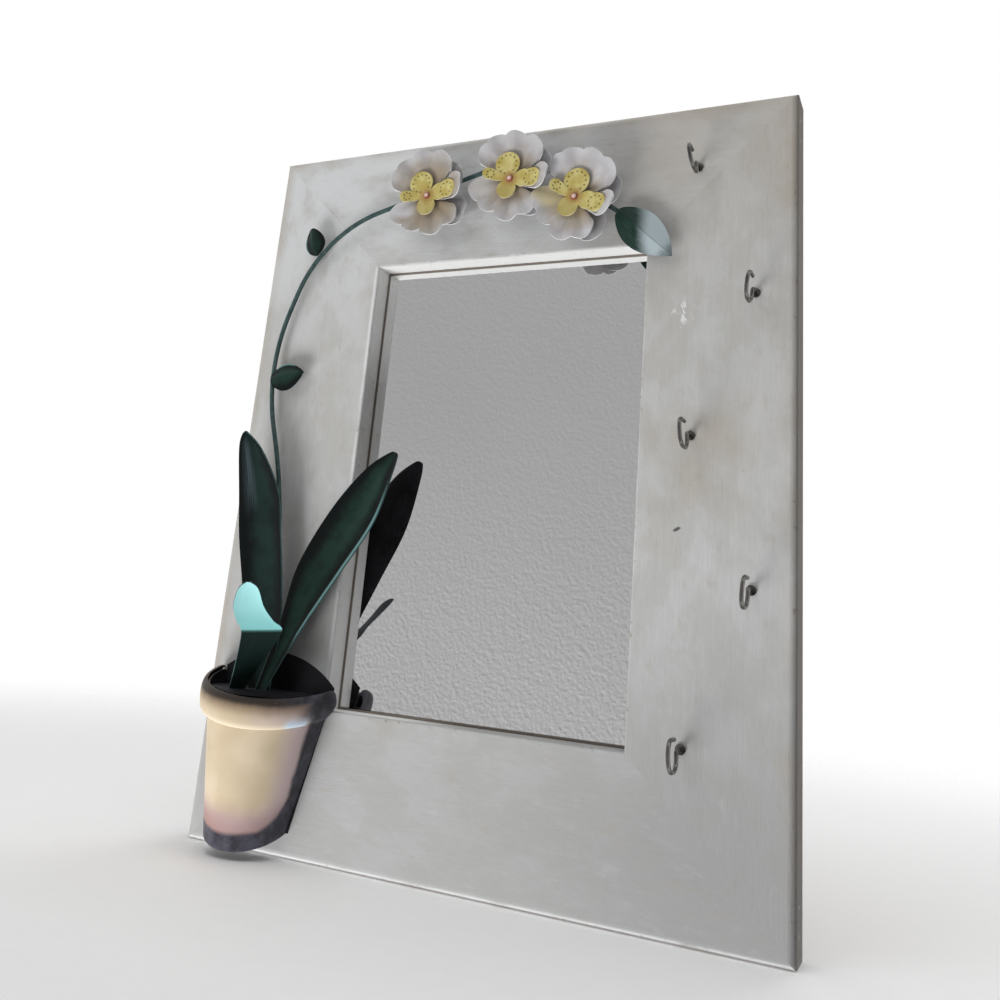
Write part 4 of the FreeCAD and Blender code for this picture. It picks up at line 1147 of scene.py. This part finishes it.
def add_floor():
    """A pale floor that takes the object's shadow and fades out into the white surround."""
    paint = Painter("pale_floor")
    x, y = paint.place("XY")
    dust = paint.even_noise(90.0, 3.0, 0.6)
    pale = paint.mix(dust, (0.85, 0.85, 0.85), (0.88, 0.88, 0.88))
    material = paint.finish(pale, 0.7, specular=0.2, alpha=distance(x, y).rise(1.25, 0.45))
    middle = Vector((0, 0, -HALF_HEIGHT - FLOOR_GAP))
    floor = add_card("floor", middle, Vector((FLOOR_HALF, 0, 0)), Vector((0, FLOOR_HALF, 0)), material)
    floor.visible_glossy = False
    floor.visible_shadow = False
    floor.visible_diffuse = False


def add_plaster():
    """A pitted plaster card in front of the glass, which only reflections see. It glows, with painted shading
    on its pits, stronger low down, and it is painted lighter low down.
    """
    paint = Painter("plaster")
    x, y, z = paint.place()
    pits = paint.even_noise(135.0, 3.0, 0.6)
    shifted = paint.noise(paint.point(x + 0.002, y, z + 0.003), 135.0, 3.0, 0.6)
    cloud = paint.even_noise(1.6, 2.0, 0.5)
    # Painted shading of the pits: a noise less a shifted copy of itself, stronger low down.
    relief = (pits - shifted) * (0.8 + z.rise(0.5, -0.4) * 2.0)
    level = 0.368 + (cloud - 0.5) * 0.04 + relief * 0.2 + z.rise(0.6, -0.3) * 0.05
    tint = paint.node("ShaderNodeCombineColor", {0: level * 1.005, 1: level, 2: level * 1.01})
    # The card glows with its own painted light and shade.
    material = paint.show(paint.node("ShaderNodeEmission", {"Color": tint}))
    half_x = Vector((CARD_HALF, 0, 0))
    half_y = Vector((0, 0, CARD_HALF))
    card = add_card("plaster_card", CARD_PLACE, half_x, half_y, material)
    card.visible_camera = False
    card.visible_diffuse = False
    card.visible_shadow = False
    card.visible_transmission = False


def add_surround():
    """A surround that is white to the camera, in metal and through glass, and dimmer as a light."""
    world = bpy.data.worlds.new("surround")
    bpy.context.scene.world = world
    world.use_nodes = True
    tree = world.node_tree
    tree.nodes.clear()
    rays = tree.nodes.new("ShaderNodeLightPath").outputs
    seen = rays["Is Camera Ray"]
    for ray in ("Is Glossy Ray", "Is Transmission Ray"):
        either = tree.nodes.new("ShaderNodeMath")
        either.operation = "MAXIMUM"
        tree.links.new(seen, either.inputs[0])
        tree.links.new(rays[ray], either.inputs[1])
        seen = either.outputs[0]
    strength = tree.nodes.new("ShaderNodeMapRange")
    strength.inputs["To Min"].default_value = SURROUND_LIGHT
    strength.inputs["To Max"].default_value = SURROUND_SEEN
    tree.links.new(seen, strength.inputs["Value"])
    surround = tree.nodes.new("ShaderNodeBackground")
    surround.inputs["Color"].default_value = (1, 1, 1, 1)
    tree.links.new(strength.outputs[0], surround.inputs["Strength"])
    end = tree.nodes.new("ShaderNodeOutputWorld")
    tree.links.new(surround.outputs[0], end.inputs["Surface"])


def add_lamps():
    """Soft square lamps, which don't show in the glass."""
    for name, (place, target, size, power) in LAMPS.items():
        lamp = bpy.data.lights.new(name, "AREA")
        lamp.size = size
        lamp.energy = power
        holder = bpy.data.objects.new(name, lamp)
        bpy.context.scene.collection.objects.link(holder)
        holder.location = place
        holder.rotation_euler = (Vector(target) - Vector(place)).to_track_quat("-Z", "Y").to_euler()
        holder.visible_glossy = False


def add_camera():
    """The camera at the place and with the lens given above."""
    lens = bpy.data.cameras.new("camera")
    lens.sensor_width = CAMERA_SENSOR
    lens.lens = CAMERA_LENS
    lens.shift_x, lens.shift_y = CAMERA_SHIFT
    lens.clip_start = 0.01
    camera = bpy.data.objects.new("camera", lens)
    bpy.context.scene.collection.objects.link(camera)
    turn = Matrix((CAMERA_RIGHT, CAMERA_UP, CAMERA_BACK)).transposed().to_4x4()
    camera.matrix_world = Matrix.Translation(CAMERA_PLACE) @ turn
    bpy.context.scene.camera = camera


bpy.context.scene.view_settings.view_transform = "Standard"
dress_solids()
pot_pieces()
leaves()
stem()
flowers()
add_floor()
add_plaster()
add_surround()
add_lamps()
add_camera()
